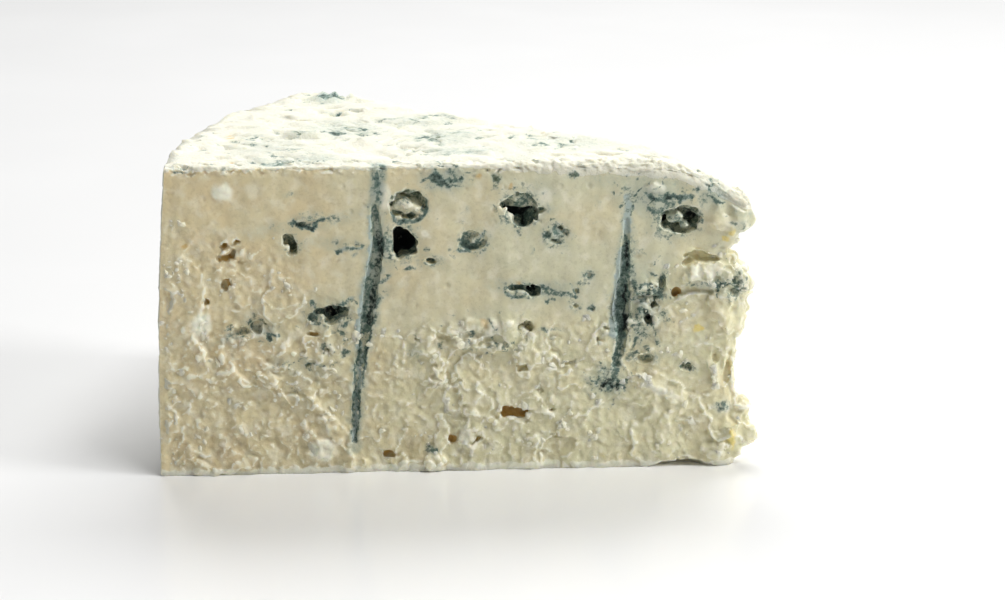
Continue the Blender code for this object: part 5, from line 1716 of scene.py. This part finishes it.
def build_crumbs(shape):
    """Scatters small crumbs that cling to the torn paste."""
    mesh = bpy.data.objects["blue_cheese_wedge"].data
    points = (vertex_array(mesh) - np.array(plan_shift())) / MM
    normals = normal_array(mesh)
    tints = {}
    for name in TINT_SETS:
        values = np.empty(len(points) * 4, dtype=np.float32)
        mesh.attributes[name].data.foreach_get("color", values)
        tints[name] = values.reshape(-1, 4)
    draw = np.random.default_rng(17)
    seats = crumb_seats(points, tints, shape.crumbs, draw)

    grain = grain_mesh()
    unit = vertex_array(grain)
    builder = bmesh.new()
    for _ in seats:
        builder.from_mesh(grain)
    bpy.data.meshes.remove(grain)
    builder.verts.ensure_lookup_table()
    for row, seat in enumerate(seats):
        size = shape.crumb_size / MM * (0.3 + 0.7 * draw.random() ** 2)
        stretch = draw.uniform((0.8, 0.6, 0.25), (1.7, 1.1, 0.6)) * size
        upright = Vector(normals[seat]).to_track_quat("Z", "Y").to_matrix()
        spin = upright @ Matrix.Rotation(draw.uniform(0.0, math.tau), 3, "Z")
        spin = spin @ Matrix.Rotation(draw.uniform(-0.5, 0.5), 3, "X")
        moved = (unit * stretch) @ np.array(spin).T + points[seat] + normals[seat] * size * 0.05
        for offset, place in enumerate(moved):
            builder.verts[row * len(unit) + offset].co = place

    crumbs = new_object("clinging_crumbs", builder, bpy.data.collections["cheese"])
    crumb_highlight, mould_left = 0.36, 0.3
    sources = np.repeat(seats, len(unit))
    for name, values in tints.items():
        attribute = crumbs.data.attributes.new(name, "FLOAT_COLOR", "POINT")
        copied = values[sources].copy()
        # Crumbs are given a crest's form, so the finish paints them paler as a highlight
        if name == "form_tints":
            copied[:] = crumb_highlight
            copied[:, 2] = 0.0
        if name == "mould_tints":
            copied *= mould_left
        attribute.data.foreach_set("color", copied.ravel())
    into_frame(crumbs)
    crumbs.data.materials.append(mesh.materials[0])
    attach(crumbs, "root")
    return crumbs


def area_light(name, place, target, width, height, power, collection):
    """Adds a soft light that points at the target and that no camera sees."""
    data = bpy.data.lights.new(name, "AREA")
    data.shape = "RECTANGLE"
    data.size = width
    data.size_y = height
    data.energy = power
    light = bpy.data.objects.new(name, data)
    collection.objects.link(light)
    light.location = place
    light.visible_camera = False
    light.rotation_mode = "QUATERNION"
    light.rotation_quaternion = (Vector(target) - Vector(place)).to_track_quat("-Z", "Y")
    return light


def build_stage(stage):
    """Builds the floor, the lights, the surround and the camera."""
    collection = new_collection("stage")
    builder = bmesh.new()
    bmesh.ops.create_grid(builder, x_segments=8, y_segments=8, size=stage.floor_size / 2)
    floor = new_object("pale_floor", builder, collection)
    floor.data.materials.append(floor_material(stage.floor))

    world = bpy.context.scene.world or bpy.data.worlds.new("surround")
    bpy.context.scene.world = world
    world.use_nodes = True
    background = world.node_tree.nodes["Background"]
    background.inputs["Color"].default_value = (1.0, 1.0, 1.0, 1.0)
    background.inputs["Strength"].default_value = stage.surround

    middle = plan_to_frame(LIT_POINT)
    lights = (
        ("top_light", (0.3, -0.3, 1.05), 0.35, 0.35, stage.top_light),
        ("back_light", (0.15, 0.72, 0.85), 1.1, 0.6, stage.back_light),
        ("side_light", (0.8, -0.26, 0.5), 0.3, 0.3, stage.side_light),
        ("front_light", (0.15, -0.95, 0.22), 0.9, 0.35, stage.front_light),
    )
    for name, offset, width, height, power in lights:
        area_light(name, middle + Vector(offset), middle, width, height, power, collection)

    aim = plan_to_frame(SEEN_POINT)
    back = Vector(
        (
            math.sin(stage.azimuth) * math.cos(stage.elevation),
            -math.cos(stage.azimuth) * math.cos(stage.elevation),
            math.sin(stage.elevation),
        )
    )
    data = bpy.data.cameras.new("camera")
    data.lens = stage.lens
    data.sensor_width = 36.0
    camera = bpy.data.objects.new("camera", data)
    collection.objects.link(camera)
    camera.location = aim + back * stage.distance
    camera.rotation_mode = "QUATERNION"
    camera.rotation_quaternion = (-back).to_track_quat("-Z", "Y")
    bpy.context.scene.camera = camera
    bpy.context.scene.view_settings.view_transform = "Standard"


class CHEESE_OT_wedge(Operator):
    """Build the wedge of cheese"""

    bl_idname = "cheese.wedge"
    bl_label = "Wedge"

    def execute(self, context):
        scene = context.scene
        build_wedge(scene.cheese_shape, scene.cheese_colours)
        return {"FINISHED"}


class CHEESE_OT_crumbs(Operator):
    """Scatter the crumbs that cling to the torn faces of the wedge"""

    bl_idname = "cheese.crumbs"
    bl_label = "Crumbs"

    def execute(self, context):
        if "blue_cheese_wedge" not in bpy.data.objects:
            raise RuntimeError("Build the wedge before its crumbs")
        build_crumbs(context.scene.cheese_shape)
        return {"FINISHED"}


class CHEESE_OT_stage(Operator):
    """Build the floor, the lights and the camera"""

    bl_idname = "cheese.stage"
    bl_label = "Stage"

    def execute(self, context):
        build_stage(context.scene.cheese_stage)
        return {"FINISHED"}


class CHEESE_PT_panel(Panel):
    """Lists the pieces of the cheese and their sizes and colours"""

    bl_idname = "CHEESE_PT_panel"
    bl_label = "Blue cheese wedge"
    bl_space_type = "VIEW_3D"
    bl_region_type = "UI"
    bl_category = "Cheese"

    def draw(self, context):
        groups = (
            (context.scene.cheese_shape, CheeseShape),
            (context.scene.cheese_colours, CheeseColours),
            (context.scene.cheese_stage, CheeseStage),
        )
        for settings, kind in groups:
            box = self.layout.box()
            for name in kind.__annotations__:
                box.prop(settings, name)
        for operator in PIECES:
            self.layout.operator(operator.bl_idname)


PIECES = (CHEESE_OT_wedge, CHEESE_OT_crumbs, CHEESE_OT_stage)
CLASSES = (CheeseShape, CheeseColours, CheeseStage, *PIECES, CHEESE_PT_panel)


def register():
    """Registers the classes and their settings."""
    for kind in CLASSES:
        bpy.utils.register_class(kind)
    bpy.types.Scene.cheese_shape = PointerProperty(type=CheeseShape)
    bpy.types.Scene.cheese_colours = PointerProperty(type=CheeseColours)
    bpy.types.Scene.cheese_stage = PointerProperty(type=CheeseStage)


def unregister():
    """Removes the classes and their settings."""
    del bpy.types.Scene.cheese_shape
    del bpy.types.Scene.cheese_colours
    del bpy.types.Scene.cheese_stage
    for kind in reversed(CLASSES):
        bpy.utils.unregister_class(kind)


def main():
    """Builds the cheese and its stage."""
    register()
    bpy.ops.cheese.wedge()
    bpy.ops.cheese.crumbs()
    bpy.ops.cheese.stage()


if __name__ == "__main__":
    main()
